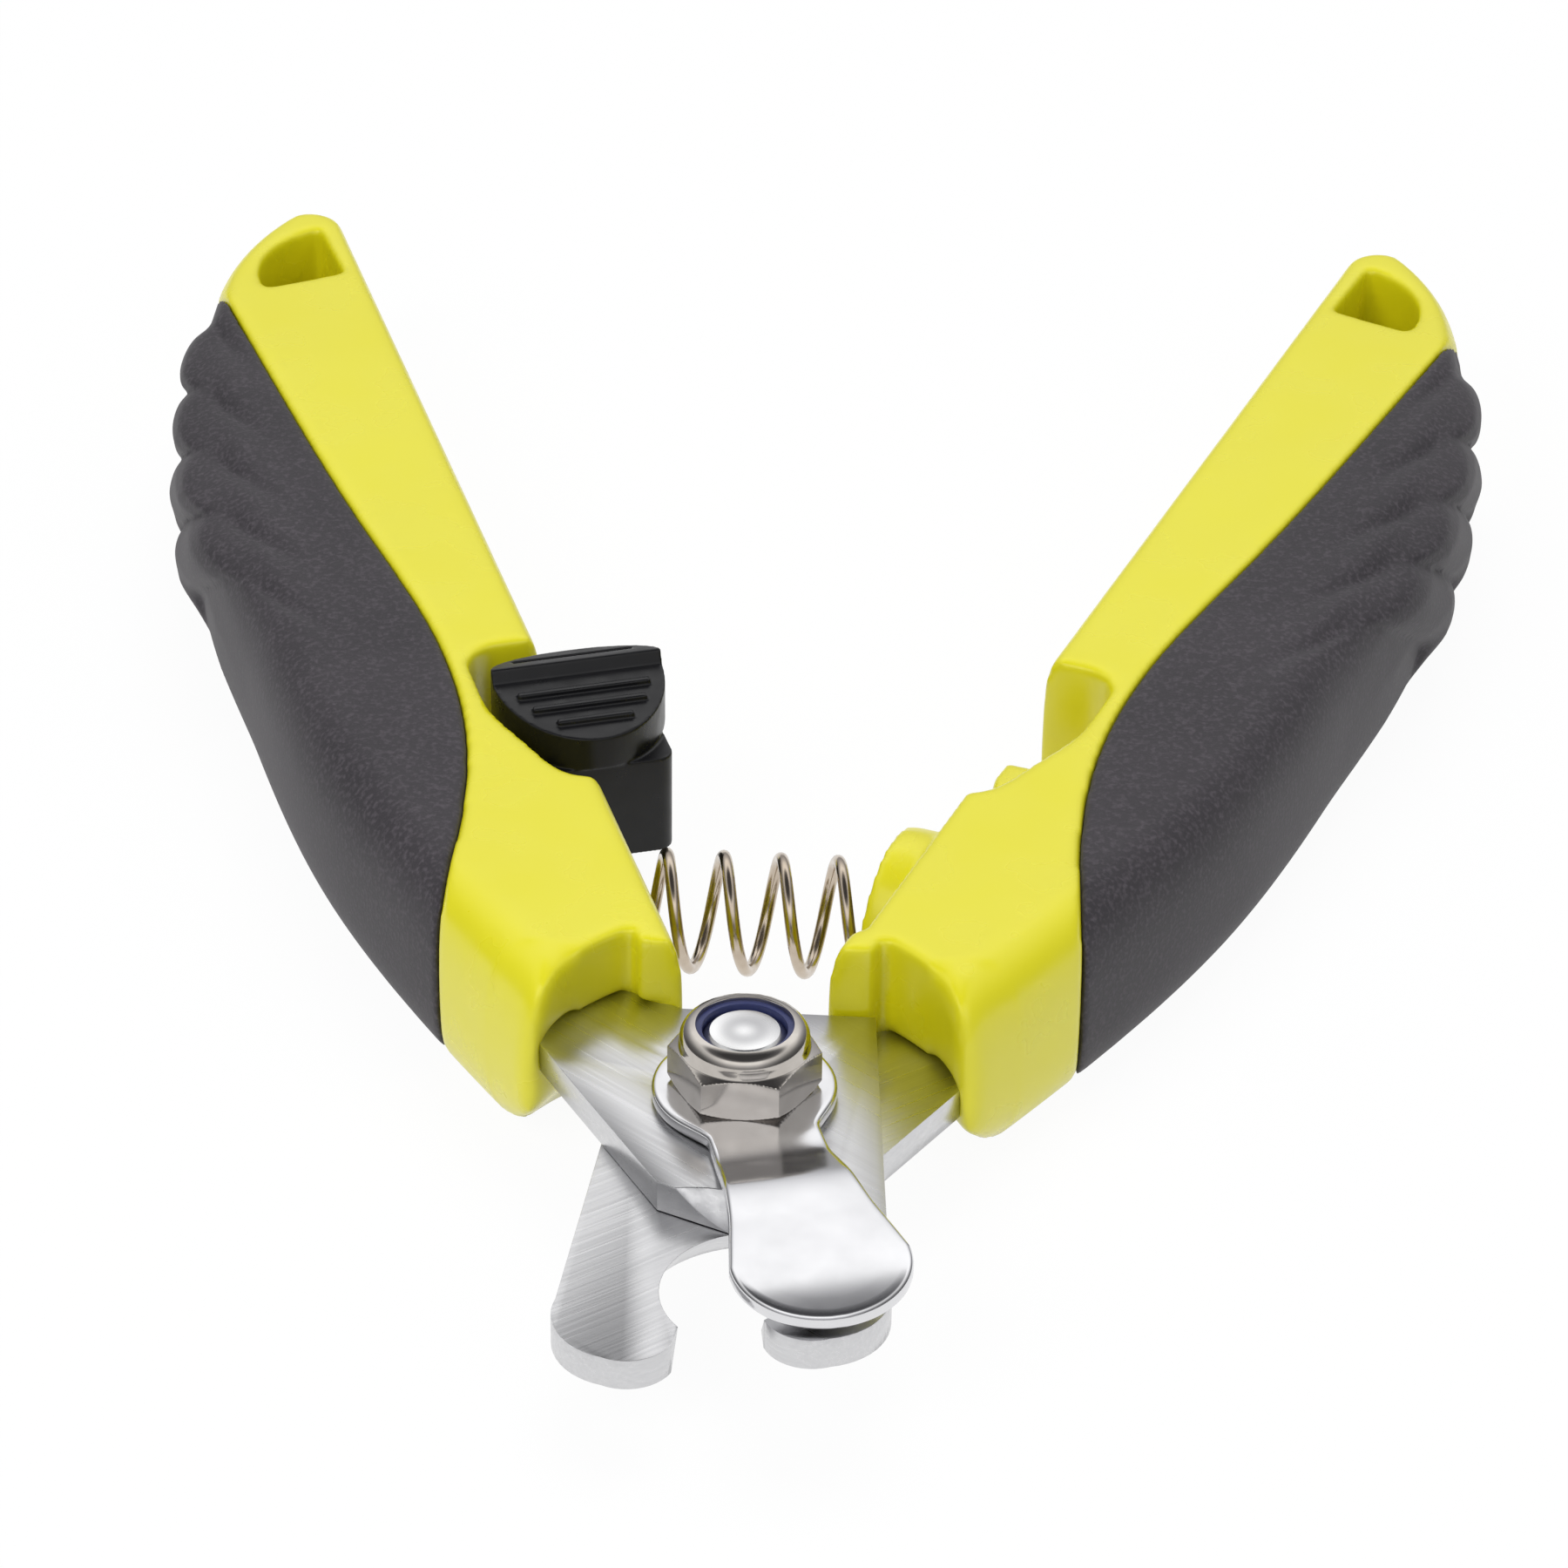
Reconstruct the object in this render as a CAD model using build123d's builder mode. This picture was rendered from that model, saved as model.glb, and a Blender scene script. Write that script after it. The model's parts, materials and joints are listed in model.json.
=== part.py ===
"""Pet nail clippers, open: two blades on one pivot, moulded handles with soft grips.

Everything is drawn about the pivot axis, with the cutting plane at height zero and the handles
running towards +Y. Each half is drawn as it lies when closed, in (s, t): s runs out from the middle
plane and t runs along the handle, and its plane then turns it to the open rest pose.
"""
import os
from math import atan2, cos, pi, radians, sin, sqrt

from build123d import *

# Opening
half_open = 19.0            # turn of each half from closed to open, degrees
running_gap = 0.05          # between faces and bores that slide on each other
clearance = 0.3             # between parts that pass each other

# Handles
inner_face = 1.0            # from the middle plane to the inner face, closed
half_height = 6.8
edge_inset = 3.2            # how far the rounded edges draw in at the top and bottom
tip_inset = 1.3             # the same at the tip
inset_taper = 40.0          # length over which the one becomes the other
inner_inset = 1.0           # the same along the inner face
edge_shares = ((-1.0, 1.0), (-0.86, 0.42), (-0.6, 0.12), (0.0, 0.0),
               (0.6, 0.12), (0.86, 0.42), (1.0, 1.0))  # shares of half_height and of the insets
front_radius = 13.2         # hollow front face, about the pivot
front_lean = 3.6            # how far the front leans back at the underside
front_lean_start = -2.3     # height where it starts to lean
lug_side = 3.7              # outer side of the stop lug
tip_reach = 112.6           # where the inner face meets the tip curve
tip_side = 4.6              # outer end of the tip curve, from the middle plane
tip_rise = 2.3              # and past tip_reach
tip_slope = 0.4
edge_back = 4.4             # where the outer edge's last curve starts, back from tip_reach
outer_edge = [(11.6, 8.0), (15.4, 21.5), (18.6, 38.0), (19.5, 57.0), (18.9, 77.0), (15.9, 94.0),
              (10.9, tip_reach - edge_back)]

# Hang hole in each handle's tip
hole_back = 10.0            # its base, back from tip_reach
hole_front = 1.5            # its point, back from tip_reach
hole_base = tip_reach - hole_back
hole_top = tip_reach - hole_front
hole_inner = 3.0
hole_outer = 9.0
hole_drop = 1.0             # how far its base drops towards the outer side
hole_lean = 0.3             # how far its inner side leans out
hole_bulge = 0.7            # how far in its outer side has come
hole_share = 0.55           # at this share of its length

# Soft grips
grip_wall = 2.2
core_inset = 0.9            # the core's square edges stay this much further in
grip_beyond = 40.0          # past the outer edge everywhere
grip_back = 4.3             # where its line leaves the outer edge, back from tip_reach
grip_edge = [(12.6, tip_reach - grip_back), (11.4, 89.6), (9.3, 65.0), (7.8, 50.0), (8.5, 37.8), (11.9, 25.3),
             (15.2, 17.4), (19.0, 10.0)]
rib_count = 4
rib_back = 11.6             # the rib next to the tip, back from tip_reach
rib_first = tip_reach - rib_back
rib_pitch = 8.7
rib_trail = 6.0             # how far its ends run back from its crown
rib_draw = 3.6              # and in
rib_rise = 2.9              # and up and down
rib_radius = 2.6
rib_proud = 1.6

# Blades
blade_thick = 2.05
blade_heel = (9.93, 6.1)
blade_back = (-1.3, 10.0)
blade_shoulder = (-7.2, -7.1)
tang_root = (-10.5, 8.2)
tang_inner = 7.5
tang_outer = 11.5
tang_start = 17.0
tang_end = 57.0
notch_centre = (-7.1, -14.9)
notch_radius = 5.6
notch_bevel = 1.4
notch_from = -60.0          # turn where the cutting edge starts, degrees
notch_to = 50.0
hook = [(3.22, -20.1), (1.9, -22.9), (-1.4, -24.05), (-3.8, -23.2), (-4.6, -21.4)]
pin_radius = 1.5
pin_places = (30.0, 50.0)

# Pivot
bolt_radius = 2.5
bolt_head_radius = 4.6
bolt_head_height = 2.2
bolt_slot_width = 1.2
bolt_slot_depth = 1.0
washer_radius = 5.2
washer_thick = 0.8
nut_flats = 8.0
nut_height = 2.7
collar_radius = 3.9
collar_height = 4.2
collar_opening = 2.95
insert_outer = 3.3
insert_height = 1.2
insert_low = 0.3
bolt_low = 0.45
bolt_head_round = 1.0
bolt_chamfer = 0.4
nut_chamfer = 0.7
collar_round = 0.95

# Nail guard
guard_thick = 1.0
guard_head = 5.55
guard_turn = 17.0           # from the middle plane, at rest, degrees
guard_lift = 1.0
guard_neck = (6.8, 3.4)
guard_waist = (14.0, 4.2)
guard_wide = (19.5, 5.4)
guard_end = 24.0
guard_bend = 7.5            # where the tongue starts to lift
guard_slope = 4.0           # length over which it lifts
guard_margin = 0.5          # how far the cutting profile runs past it
guard_droop = 0.45          # slope of the turned-down end

# Spring
wire = 0.8
coil_radius = 3.6
coil_pitch = 3.63
coil_turns = 6
spring_along = 25.0
spring_floor = 5.0
seat_radius = 4.9
cup_radius = 5.7
cup_proud = -0.6            # from the middle plane: past it
spring_step = 2.3
step_start = 13.0
step_end = 31.3
leg_along = 3.5
samples_per_turn = 60
spring_line = 2.0           # from the middle plane to where the coil's axis crosses a seat's axis

# Lock
pocket_start = 30.3
pocket_end = 47.8
pocket_deep = 6.5
pocket_floor = -3.4
pocket_nose = 1.5           # depth at the pivot's end
pocket_slope = (4.8, 4.4)   # depth, and length past the start, part way along
pocket_full = 1.0           # full depth this far before the cap's centre
pocket_corner = 2.5
pocket_lead = 0.15
lock_travel = 2.2
half_turn = 180             # degrees
cap_centre = 42.6
cap_half_width = 5.7
cap_front = 7.4
cap_back = 2.4
cap_low = 3.9
cap_top = 7.9
cap_step = 0.5              # width of the step from the ridge to the pad
pad_drop = 0.9
line_back = 1.1             # groove behind the ridge
line_half = 4.0
line_width = 0.35
line_deep = 0.6
tongue_mid = -2.2
tongue_slim = 0.5
tongue_head = 0.8
tongue_neck = 7.8
tongue_reach = 9.2
tongue_length = 4.2
column_inset = 0.5
column_side = 4.3
wall_reach = 4.9            # right end of the lock's front wall
wall_thick = 1.2
wall_round = 1.1
lip_inner = 2.6
lip_swing = 0.3             # room for the hook's swing past the lip
pad_ribs = 3
pad_rib = 0.5
pad_rib_first = 2.2
pad_rib_pitch = 1.6
pad_rib_proud = 0.35
pad_margin = 1.0
hook_inner = 0.4
hook_outer = 2.2
hook_start = 39.2
hook_end = 43.1
hook_low = -1.5
hook_high = 1.4
hook_round = 1.5
hook_root = 0.5             # how far its neck runs into the pocket's wall
neck_start = 41.1


def half_plane(side, height=0.0):
    """Plane of one half at rest: side -1 is left, +1 is right."""
    turn = radians(-side * half_open)
    return Plane((0, 0, height), x_dir=(cos(turn), sin(turn), 0), z_dir=(0, 0, 1))


def drawn_in(points, inset, end_inset):
    """Points of an outer edge, moved inwards square to the edge, by end_inset at the tip."""
    moved = []
    for k, (s, t) in enumerate(points):
        before = points[max(k - 1, 0)]
        after = points[min(k + 1, len(points) - 1)]
        run = Vector(after[0] - before[0], after[1] - before[1]).normalized()
        taper = max(0.0, 1 - (points[-1][1] - t) / inset_taper)
        move = inset + (end_inset - inset) * taper
        moved.append((s - move * run.Y, t + move * run.X))
    return moved


def handle_form(side):
    """Moulded envelope of a handle, rounded towards its top and bottom faces."""
    with BuildPart() as form:
        for level, share in edge_shares:
            inner = inner_face + inner_inset * share
            tip = (tip_side, tip_reach + tip_rise)
            edge = drawn_in(outer_edge + [tip], edge_inset * share, tip_inset * share)
            start = (side * inner, tip_reach - tip_inset * share)
            last = (side * tip[0], tip[1] - tip_inset * share)
            with BuildSketch(half_plane(side, level * half_height)):
                with BuildLine():
                    Spline([(side * s, t) for s, t in edge[:-1]] + [last])
                    Spline(last, start, tangents=[(-side, tip_slope), (0, -1)])
                    front = (side * inner, edge[0][1])
                    Line(start, front)
                    Line(front, (side * edge[0][0], edge[0][1]))
                make_face()
        loft()
    return form.part


def grip_region(side):
    """Space outside the line where the soft grip meets the hard handle."""
    with BuildPart() as region:
        with BuildSketch(half_plane(side, -2 * half_height)):
            with BuildLine():
                Spline([(side * s, t) for s, t in grip_edge])
                Polyline((side * grip_edge[-1][0], grip_edge[-1][1]), (side * grip_beyond, grip_edge[-1][1]),
                         (side * grip_beyond, grip_edge[0][1]), (side * grip_edge[0][0], grip_edge[0][1]))
            make_face()
        extrude(amount=4 * half_height)
    return region.part


def draw_core(side, low):
    """Hard core under the grip, a wall's depth inside the outer edge."""
    depth = grip_wall + core_inset
    edge = drawn_in(outer_edge[:-1], depth, depth)
    with BuildSketch(half_plane(side, low)) as outline:
        with BuildLine():
            Spline([(side * s, t) for s, t in edge])
            Polyline((side * edge[-1][0], edge[-1][1]), (side * tang_inner, edge[-1][1]),
                     (side * tang_inner, edge[0][1]), (side * edge[0][0], edge[0][1]))
        make_face()
    return outline.sketch


def prism(outline, height):
    """Upright solid over an outline."""
    with BuildPart() as solid:
        extrude(outline, amount=height)
    return solid.part


def draw_hole(side, low):
    """Hang hole: straight at its base and inner side, round at its outer side."""
    with BuildSketch(half_plane(side, low)) as outline:
        with BuildLine():
            Polyline((side * (hole_inner + hole_lean), hole_top), (side * hole_inner, hole_base + hole_drop),
                     (side * hole_outer, hole_base))
            ThreePointArc((side * hole_outer, hole_base),
                          (side * (hole_outer - hole_bulge), hole_base + hole_share * (hole_top - hole_base)),
                          (side * (hole_inner + hole_lean), hole_top))
        make_face()
    return outline.sketch


def draw_pocket(side, low):
    """Lock pocket: tapered towards the pivot, square towards the tip."""
    full = cap_centre - pocket_full
    turn = pocket_corner * (1 - sqrt(0.5))
    round_start = (side * pocket_deep, pocket_end - pocket_corner)
    round_end = (side * (pocket_deep - pocket_corner), pocket_end)
    with BuildSketch(half_plane(side, low)) as outline:
        with BuildLine():
            Line((-side, pocket_start), (side * pocket_nose, pocket_start))
            Spline((side * pocket_nose, pocket_start),
                   (side * pocket_slope[0], pocket_start + pocket_slope[1]),
                   (side * pocket_deep, full), tangents=[(side, pocket_lead), (0, 1)])
            Line((side * pocket_deep, full), round_start)
            ThreePointArc(round_start, (side * (pocket_deep - turn), pocket_end - turn), round_end)
            Polyline(round_end, (-side, pocket_end), (-side, pocket_start))
        make_face()
    return outline.sketch


def draw_front(side, low):
    """Hollow front face: round about the pivot, less the lug that stops the other blade."""
    heel = Vector(*blade_heel)
    back = Vector(*blade_back)
    along = (heel - back).normalized()
    square = Vector(-along.Y, along.X)
    reach = square.dot(heel) + clearance
    lean = radians(2 * half_open) + atan2(-square.X, square.Y)
    inner_t = (reach + inner_face * sin(lean)) / cos(lean)
    outer_t = (reach + lug_side * sin(lean)) / cos(lean)
    with BuildSketch(half_plane(side, low)) as outline:
        Circle(front_radius)
        with BuildLine():
            Polyline((side * inner_face, inner_t), (side * lug_side, outer_t),
                     (side * lug_side, 2 * front_radius), (side * inner_face, 2 * front_radius), close=True)
        make_face(mode=Mode.SUBTRACT)
    return outline.sketch


def blade(side):
    """One blade with its tang; the left one lies above the cutting plane and the right one below."""
    def at(point):
        return (-side * point[0], point[1])

    def on_notch(angle):
        return (notch_centre[0] + notch_radius * cos(radians(angle)),
                notch_centre[1] + notch_radius * sin(radians(angle)))

    low = running_gap / 2 if side < 0 else -blade_thick
    high = blade_thick if side < 0 else -running_gap / 2
    with BuildPart() as plate:
        with BuildSketch(half_plane(side, low)):
            with BuildLine():
                Line(at(blade_heel), at(hook[0]))
                ThreePointArc(*[at(point) for point in hook[:3]])
                ThreePointArc(*[at(point) for point in hook[2:]])
                Line(at(hook[-1]), at(on_notch(notch_from)))
                ThreePointArc(at(on_notch(notch_from)), at(on_notch(0)), at(on_notch(notch_to)))
                Polyline(at(on_notch(notch_to)), at(blade_shoulder), at(tang_root),
                         at((-tang_outer, tang_start)), at((-tang_outer, tang_end)),
                         at((-tang_inner, tang_end)), at((-tang_inner, tang_start)),
                         at(blade_back), at(blade_heel))
            make_face()
            Circle(bolt_radius + running_gap, mode=Mode.SUBTRACT)
        extrude(amount=high - low)
        with BuildSketch(half_plane(side, -side * running_gap / 2)):
            with Locations(at(notch_centre)):
                Circle(notch_radius)
        with BuildSketch(half_plane(side, -side * blade_thick)):
            with Locations(at(notch_centre)):
                Circle(notch_radius + notch_bevel)
        loft(mode=Mode.SUBTRACT)
        with BuildSketch(half_plane(side, low)):
            for place in pin_places:
                with Locations(at((-(tang_inner + tang_outer) / 2, place))):
                    Circle(pin_radius)
        extrude(amount=high - low, mode=Mode.SUBTRACT)
    return plate.part


def tang_pin(side, place):
    """Pin that holds a tang in its handle, under the grip."""
    with BuildPart() as pin:
        with BuildSketch(half_plane(side, grip_wall - half_height)):
            with Locations((side * (tang_inner + tang_outer) / 2, place)):
                Circle(pin_radius)
        extrude(amount=2 * (half_height - grip_wall))
    return pin.part


def edge_at(along):
    """Distance of the outer edge from the middle plane at a place along the handle."""
    for (s0, t0), (s1, t1) in zip(outer_edge, outer_edge[1:]):
        if t0 <= along <= t1:
            return s0 + (s1 - s0) * (along - t0) / (t1 - t0)
    return outer_edge[-1][0]


def grip_rib(side, number):
    """One rounded rib that wraps the outer edge and sinks into the grip at both ends."""
    place = rib_first - number * rib_pitch
    out = edge_at(place) + rib_proud - rib_radius
    frame = half_plane(side)
    ends = [frame.from_local_coords((side * (out - rib_draw), place - rib_trail, z))
            for z in (rib_rise, -rib_rise)]
    crown = frame.from_local_coords((side * out, place, 0))
    with BuildPart() as rib:
        with BuildLine() as path:
            ThreePointArc(ends[0], crown, ends[1])
        with BuildSketch(Plane(path.line @ 0, z_dir=path.line % 0)):
            Circle(rib_radius)
        sweep()
    return rib.part


def seat_plane(side, s):
    """Plane square to a handle's inner face, at the spring, facing the other handle."""
    frame = half_plane(side)
    middle = frame.from_local_coords((side * s, spring_along, 0))
    return Plane(middle, x_dir=(0, 0, 1), z_dir=frame.x_dir * -side)


def biarc(start, start_way, end, end_way):
    """Two arcs that join two points, each tangent to its own direction and to the other arc."""
    span = end - start
    bend = 2 * (1 - start_way.dot(end_way))
    lean = span.dot(start_way + end_way)
    reach = (sqrt(lean * lean + bend * span.dot(span)) - lean) / bend
    middle = (start + end + (start_way - end_way) * reach) * 0.5
    first = Edge.make_tangent_arc(start, start_way, middle)
    turn = (first % 1).normalized()
    return [first, Edge.make_tangent_arc(middle, turn, end)]


def lock_oval(low, shrink=0.0):
    """Outline of the lock's thumb cap: a long round front and a short round back."""
    wide = cap_half_width - shrink
    with BuildSketch(half_plane(-1, low)) as outline:
        with BuildLine():
            EllipticalCenterArc((0, cap_centre), wide, cap_front - shrink, half_turn, arc_size=half_turn)
            EllipticalCenterArc((0, cap_centre), wide, cap_back - shrink, 0, arc_size=half_turn)
        make_face()
    return outline.sketch


def lock_block(x_low, x_high, t_low, t_high, z_low, z_high):
    """Plain block in the left half's closed frame."""
    frame = half_plane(-1)
    middle = frame.from_local_coords(((x_low + x_high) / 2, (t_low + t_high) / 2, (z_low + z_high) / 2))
    with BuildPart(Plane(middle, x_dir=frame.x_dir, z_dir=(0, 0, 1))) as block:
        Box(x_high - x_low, t_high - t_low, z_high - z_low)
    return block.part


def handle(side, plate, pins):
    """Hard handle moulded round its tang, and the soft grip over it."""
    form = handle_form(side)
    core = prism(draw_core(side, grip_wall - half_height), 2 * (half_height - grip_wall))
    hole = prism(draw_hole(side, -2 * half_height), 4 * half_height)
    front = prism(draw_front(side, -2 * half_height), 4 * half_height)
    with BuildPart() as lean:
        with BuildSketch(Plane.XY.offset(-half_height)):
            Circle(front_radius + front_lean)
        with BuildSketch(Plane.XY.offset(front_lean_start)):
            Circle(front_radius)
        loft()
    pocket = prism(draw_pocket(side, pocket_floor), 2 * half_height)
    region = grip_region(side)
    with BuildPart() as body:
        add(form)
        add(region, mode=Mode.SUBTRACT)
        add(core)
        for cut in (front, lean.part, hole, pocket):
            add(cut, mode=Mode.SUBTRACT)
        if side > 0:
            with BuildSketch(half_plane(side, -2 * half_height)):
                with BuildLine():
                    Polyline((-inner_face, step_start), (spring_step, step_start), (spring_step, step_end),
                             (-inner_face, step_end), close=True)
                make_face()
            extrude(amount=4 * half_height, mode=Mode.SUBTRACT)
            with BuildSketch(seat_plane(side, spring_floor)):
                Circle(cup_radius)
            extrude(amount=spring_floor - cup_proud)
        with BuildSketch(seat_plane(side, spring_floor)):
            Circle(seat_radius)
        extrude(amount=2 * spring_floor, mode=Mode.SUBTRACT)
        add(plate, mode=Mode.SUBTRACT)
        for pin in pins:
            add(pin, mode=Mode.SUBTRACT)
    with BuildPart() as grip:
        add(form)
        for number in range(rib_count):
            add(grip_rib(side, number))
        add(region, mode=Mode.INTERSECT)
        add(core, mode=Mode.SUBTRACT)
    return body.part, grip.part


upper_blade = blade(-1)
lower_blade = blade(1)
left_pins = [tang_pin(-1, place) for place in pin_places]
right_pins = [tang_pin(1, place) for place in pin_places]
left_body, left_soft = handle(-1, upper_blade, left_pins)
right_body, right_soft = handle(1, lower_blade, right_pins)

# Groove in the left handle that the lock's tongue runs in
tongue_start = cap_centre - tongue_length
groove_start = tongue_start - clearance
groove_end = cap_centre + lock_travel + clearance
head_slot = lock_block(-tongue_reach - clearance, -tongue_neck + clearance, groove_start, groove_end,
                       tongue_mid - tongue_head - clearance, tongue_mid + tongue_head + clearance)
neck_slot = lock_block(-tongue_neck, -column_side, groove_start, groove_end,
                       tongue_mid - tongue_slim - clearance, tongue_mid + tongue_slim + clearance)
with BuildPart() as left_handle:
    add(left_body)
    add(head_slot, mode=Mode.SUBTRACT)
    add(neck_slot, mode=Mode.SUBTRACT)

# Catch in the right handle's pocket: a hook, round at its near end, on a neck from the pocket's wall
with BuildPart() as right_handle:
    add(right_body)
    with BuildSketch(half_plane(1, hook_low)):
        with BuildLine():
            TangentArc((hook_inner, hook_start + hook_round), (hook_inner + hook_round, hook_start),
                       tangent=(0, -1))
            Polyline((hook_inner + hook_round, hook_start), (hook_outer, hook_start),
                     (hook_outer, neck_start), (pocket_deep + hook_root, neck_start),
                     (pocket_deep + hook_root, hook_end), (hook_inner, hook_end),
                     (hook_inner, hook_start + hook_round))
        make_face()
    extrude(amount=hook_high - hook_low)

with BuildPart() as left_grip:
    add(left_soft)

with BuildPart() as right_grip:
    add(right_soft)

# Lock: thumb cap, column in the pocket, front wall whose lip hooks the catch, tongue in the groove
column_low = pocket_floor + clearance
column_high = hook_low - clearance
wall_end = hook_start - clearance - lock_travel
wall_start = wall_end - wall_thick
lip_end = hook_start - clearance - lip_swing
left_frame = half_plane(-1)
with BuildPart() as lock_slide:
    extrude(lock_oval(cap_low), amount=cap_top - cap_low)
    pad_end = cap_centre - cap_front - pad_margin
    back_end = cap_centre + cap_back + pad_margin
    with BuildSketch(Plane((0, 0, 0), x_dir=left_frame.y_dir, z_dir=left_frame.x_dir)):
        with BuildLine():
            Polyline((pad_end, cap_low), (back_end, cap_low), (back_end, cap_top - pad_drop),
                     (cap_centre, cap_top), (cap_centre - cap_step, cap_top - pad_drop),
                     (pad_end, cap_top - 2 * pad_drop), close=True)
        make_face()
    extrude(amount=2 * cap_half_width, both=True, mode=Mode.INTERSECT)
    add(lock_block(-line_half, line_half, cap_centre + line_back - line_width / 2,
                   cap_centre + line_back + line_width / 2, cap_top - line_deep, cap_top), mode=Mode.SUBTRACT)
    extrude(lock_oval(column_low, column_inset), amount=column_high - column_low)
    add(lock_block(-column_side, -clearance, tongue_start, cap_centre, column_low, cap_low))
    with BuildSketch(half_plane(-1, column_low)):
        with BuildLine():
            Polyline((wall_reach - wall_round, wall_start), (-column_side, wall_start),
                     (-column_side, wall_end), (lip_inner, wall_end), (lip_inner, lip_end),
                     (wall_reach, lip_end), (wall_reach, wall_start + wall_round))
            TangentArc((wall_reach, wall_start + wall_round), (wall_reach - wall_round, wall_start),
                       tangent=(0, -1))
        make_face()
    extrude(amount=cap_low - column_low)
    add(lock_block(-tongue_neck - clearance, -column_side, tongue_start, cap_centre,
                   tongue_mid - tongue_slim, tongue_mid + tongue_slim))
    add(lock_block(-tongue_reach, -tongue_neck - clearance, tongue_start, cap_centre,
                   tongue_mid - tongue_head, tongue_mid + tongue_head))
    slope = pad_drop / (cap_front + pad_margin - cap_step)
    for number in range(pad_ribs):
        back = pad_rib_first + number * pad_rib_pitch
        reach = (cap_half_width - pad_margin) * sqrt(1 - (back / (cap_front - pad_margin)) ** 2)
        base = cap_top - pad_drop - slope * (back - cap_step)
        add(lock_block(-reach, reach, cap_centre - back - pad_rib / 2, cap_centre - back + pad_rib / 2,
                       base - pad_rib, base + pad_rib_proud))

# Pivot stack, from the washer under the lower blade to the nut on the guard
guard_base = blade_thick + running_gap
nut_base = guard_base + guard_thick
nut_top = nut_base + collar_height
washer_base = -blade_thick - washer_thick
with BuildPart() as bolt_washer:
    with BuildSketch(Plane.XY.offset(washer_base)):
        Circle(washer_radius)
        Circle(bolt_radius + running_gap, mode=Mode.SUBTRACT)
    extrude(amount=washer_thick - running_gap)

with BuildPart() as pivot_bolt:
    with BuildSketch(Plane.XY.offset(washer_base - bolt_head_height)):
        Circle(bolt_head_radius)
    extrude(amount=bolt_head_height)
    fillet(pivot_bolt.edges().sort_by(Axis.Z)[0], bolt_head_round)
    with BuildSketch(Plane.XY.offset(washer_base - bolt_head_height)):
        Rectangle(2 * bolt_head_radius, bolt_slot_width)
    extrude(amount=bolt_slot_depth, mode=Mode.SUBTRACT)
    with BuildSketch(Plane.XY.offset(washer_base)):
        Circle(bolt_radius)
    extrude(amount=nut_top - bolt_low - washer_base)
    chamfer(pivot_bolt.edges().sort_by(Axis.Z)[-1], bolt_chamfer)

corner = nut_flats / sqrt(3)
insert_top = nut_top - insert_low
with BuildPart() as lock_nut:
    with BuildSketch(Plane.XZ):
        with BuildLine():
            Polyline((0, nut_base), (corner - nut_chamfer, nut_base), (corner, nut_base + nut_chamfer / 2),
                     (corner, nut_base + nut_height - nut_chamfer / 2),
                     (collar_radius, nut_base + nut_height), (collar_radius, nut_top - collar_round))
            TangentArc((collar_radius, nut_top - collar_round), (collar_radius - collar_round, nut_top),
                       tangent=(0, 1))
            Polyline((collar_radius - collar_round, nut_top), (0, nut_top), (0, nut_base))
        make_face()
    revolve(axis=Axis.Z)
    with BuildSketch(Plane.XY.offset(nut_base)):
        RegularPolygon(corner, 6)
    extrude(amount=collar_height, mode=Mode.INTERSECT)
    with BuildSketch(Plane.XY.offset(nut_base)):
        Circle(bolt_radius + running_gap)
    extrude(amount=collar_height, mode=Mode.SUBTRACT)
    with BuildSketch(Plane.XY.offset(insert_top - insert_height)):
        Circle(insert_outer)
    extrude(amount=insert_height, mode=Mode.SUBTRACT)
    with BuildSketch(Plane.XY.offset(insert_top)):
        Circle(collar_opening)
    extrude(amount=insert_low, mode=Mode.SUBTRACT)

with BuildPart() as nut_insert:
    with BuildSketch(Plane.XY.offset(insert_top - insert_height)):
        Circle(insert_outer)
        Circle(bolt_radius + running_gap, mode=Mode.SUBTRACT)
    extrude(amount=insert_height)

# Guard: a flat head under the nut and a tongue that lifts clear of the blade and turns down at its end
guard_way = radians(guard_turn)
guard_root = guard_head / 2
guard_past = -guard_end - guard_margin
guard_behind = guard_head + guard_margin
guard_frame = Plane((0, 0, guard_base), x_dir=(cos(guard_way), sin(guard_way), 0), z_dir=(0, 0, 1))
with BuildPart() as nail_guard:
    with BuildSketch(guard_frame.offset(-guard_thick)):
        Circle(guard_head)
        with BuildLine():
            for way in (-1, 1):
                Spline((way * guard_neck[1], -guard_root), (way * guard_neck[1], -guard_neck[0]),
                       (way * guard_waist[1], -guard_waist[0]), (way * guard_wide[1], -guard_wide[0]),
                       (0, -guard_end), tangents=[(0, -1), (-way, 0)])
            Line((-guard_neck[1], -guard_root), (guard_neck[1], -guard_root))
        make_face()
        Circle(bolt_radius + running_gap, mode=Mode.SUBTRACT)
    extrude(amount=guard_lift + 3 * guard_thick)
    with BuildSketch(Plane(guard_frame.origin, x_dir=guard_frame.y_dir, z_dir=guard_frame.x_dir)):
        with BuildLine():
            for rise in (0, guard_thick):
                Line((guard_behind, rise), (-guard_bend, rise))
                Spline((-guard_bend, rise), (-guard_bend - guard_slope, guard_lift + rise),
                       (-guard_wide[0], guard_lift + rise), (guard_past, clearance + rise),
                       tangents=[(-1, 0), (-1, -guard_droop)])
            Line((guard_behind, 0), (guard_behind, guard_thick))
            Line((guard_past, clearance), (guard_past, clearance + guard_thick))
        make_face()
    extrude(amount=2 * guard_wide[1], both=True, mode=Mode.INTERSECT)

# Spring: one wire, coiled between the handles, with a straight end in each seat
coil_centre = half_plane(1).from_local_coords((spring_line, spring_along, 0)).Y
coil_half = coil_pitch * coil_turns / 2


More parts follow.
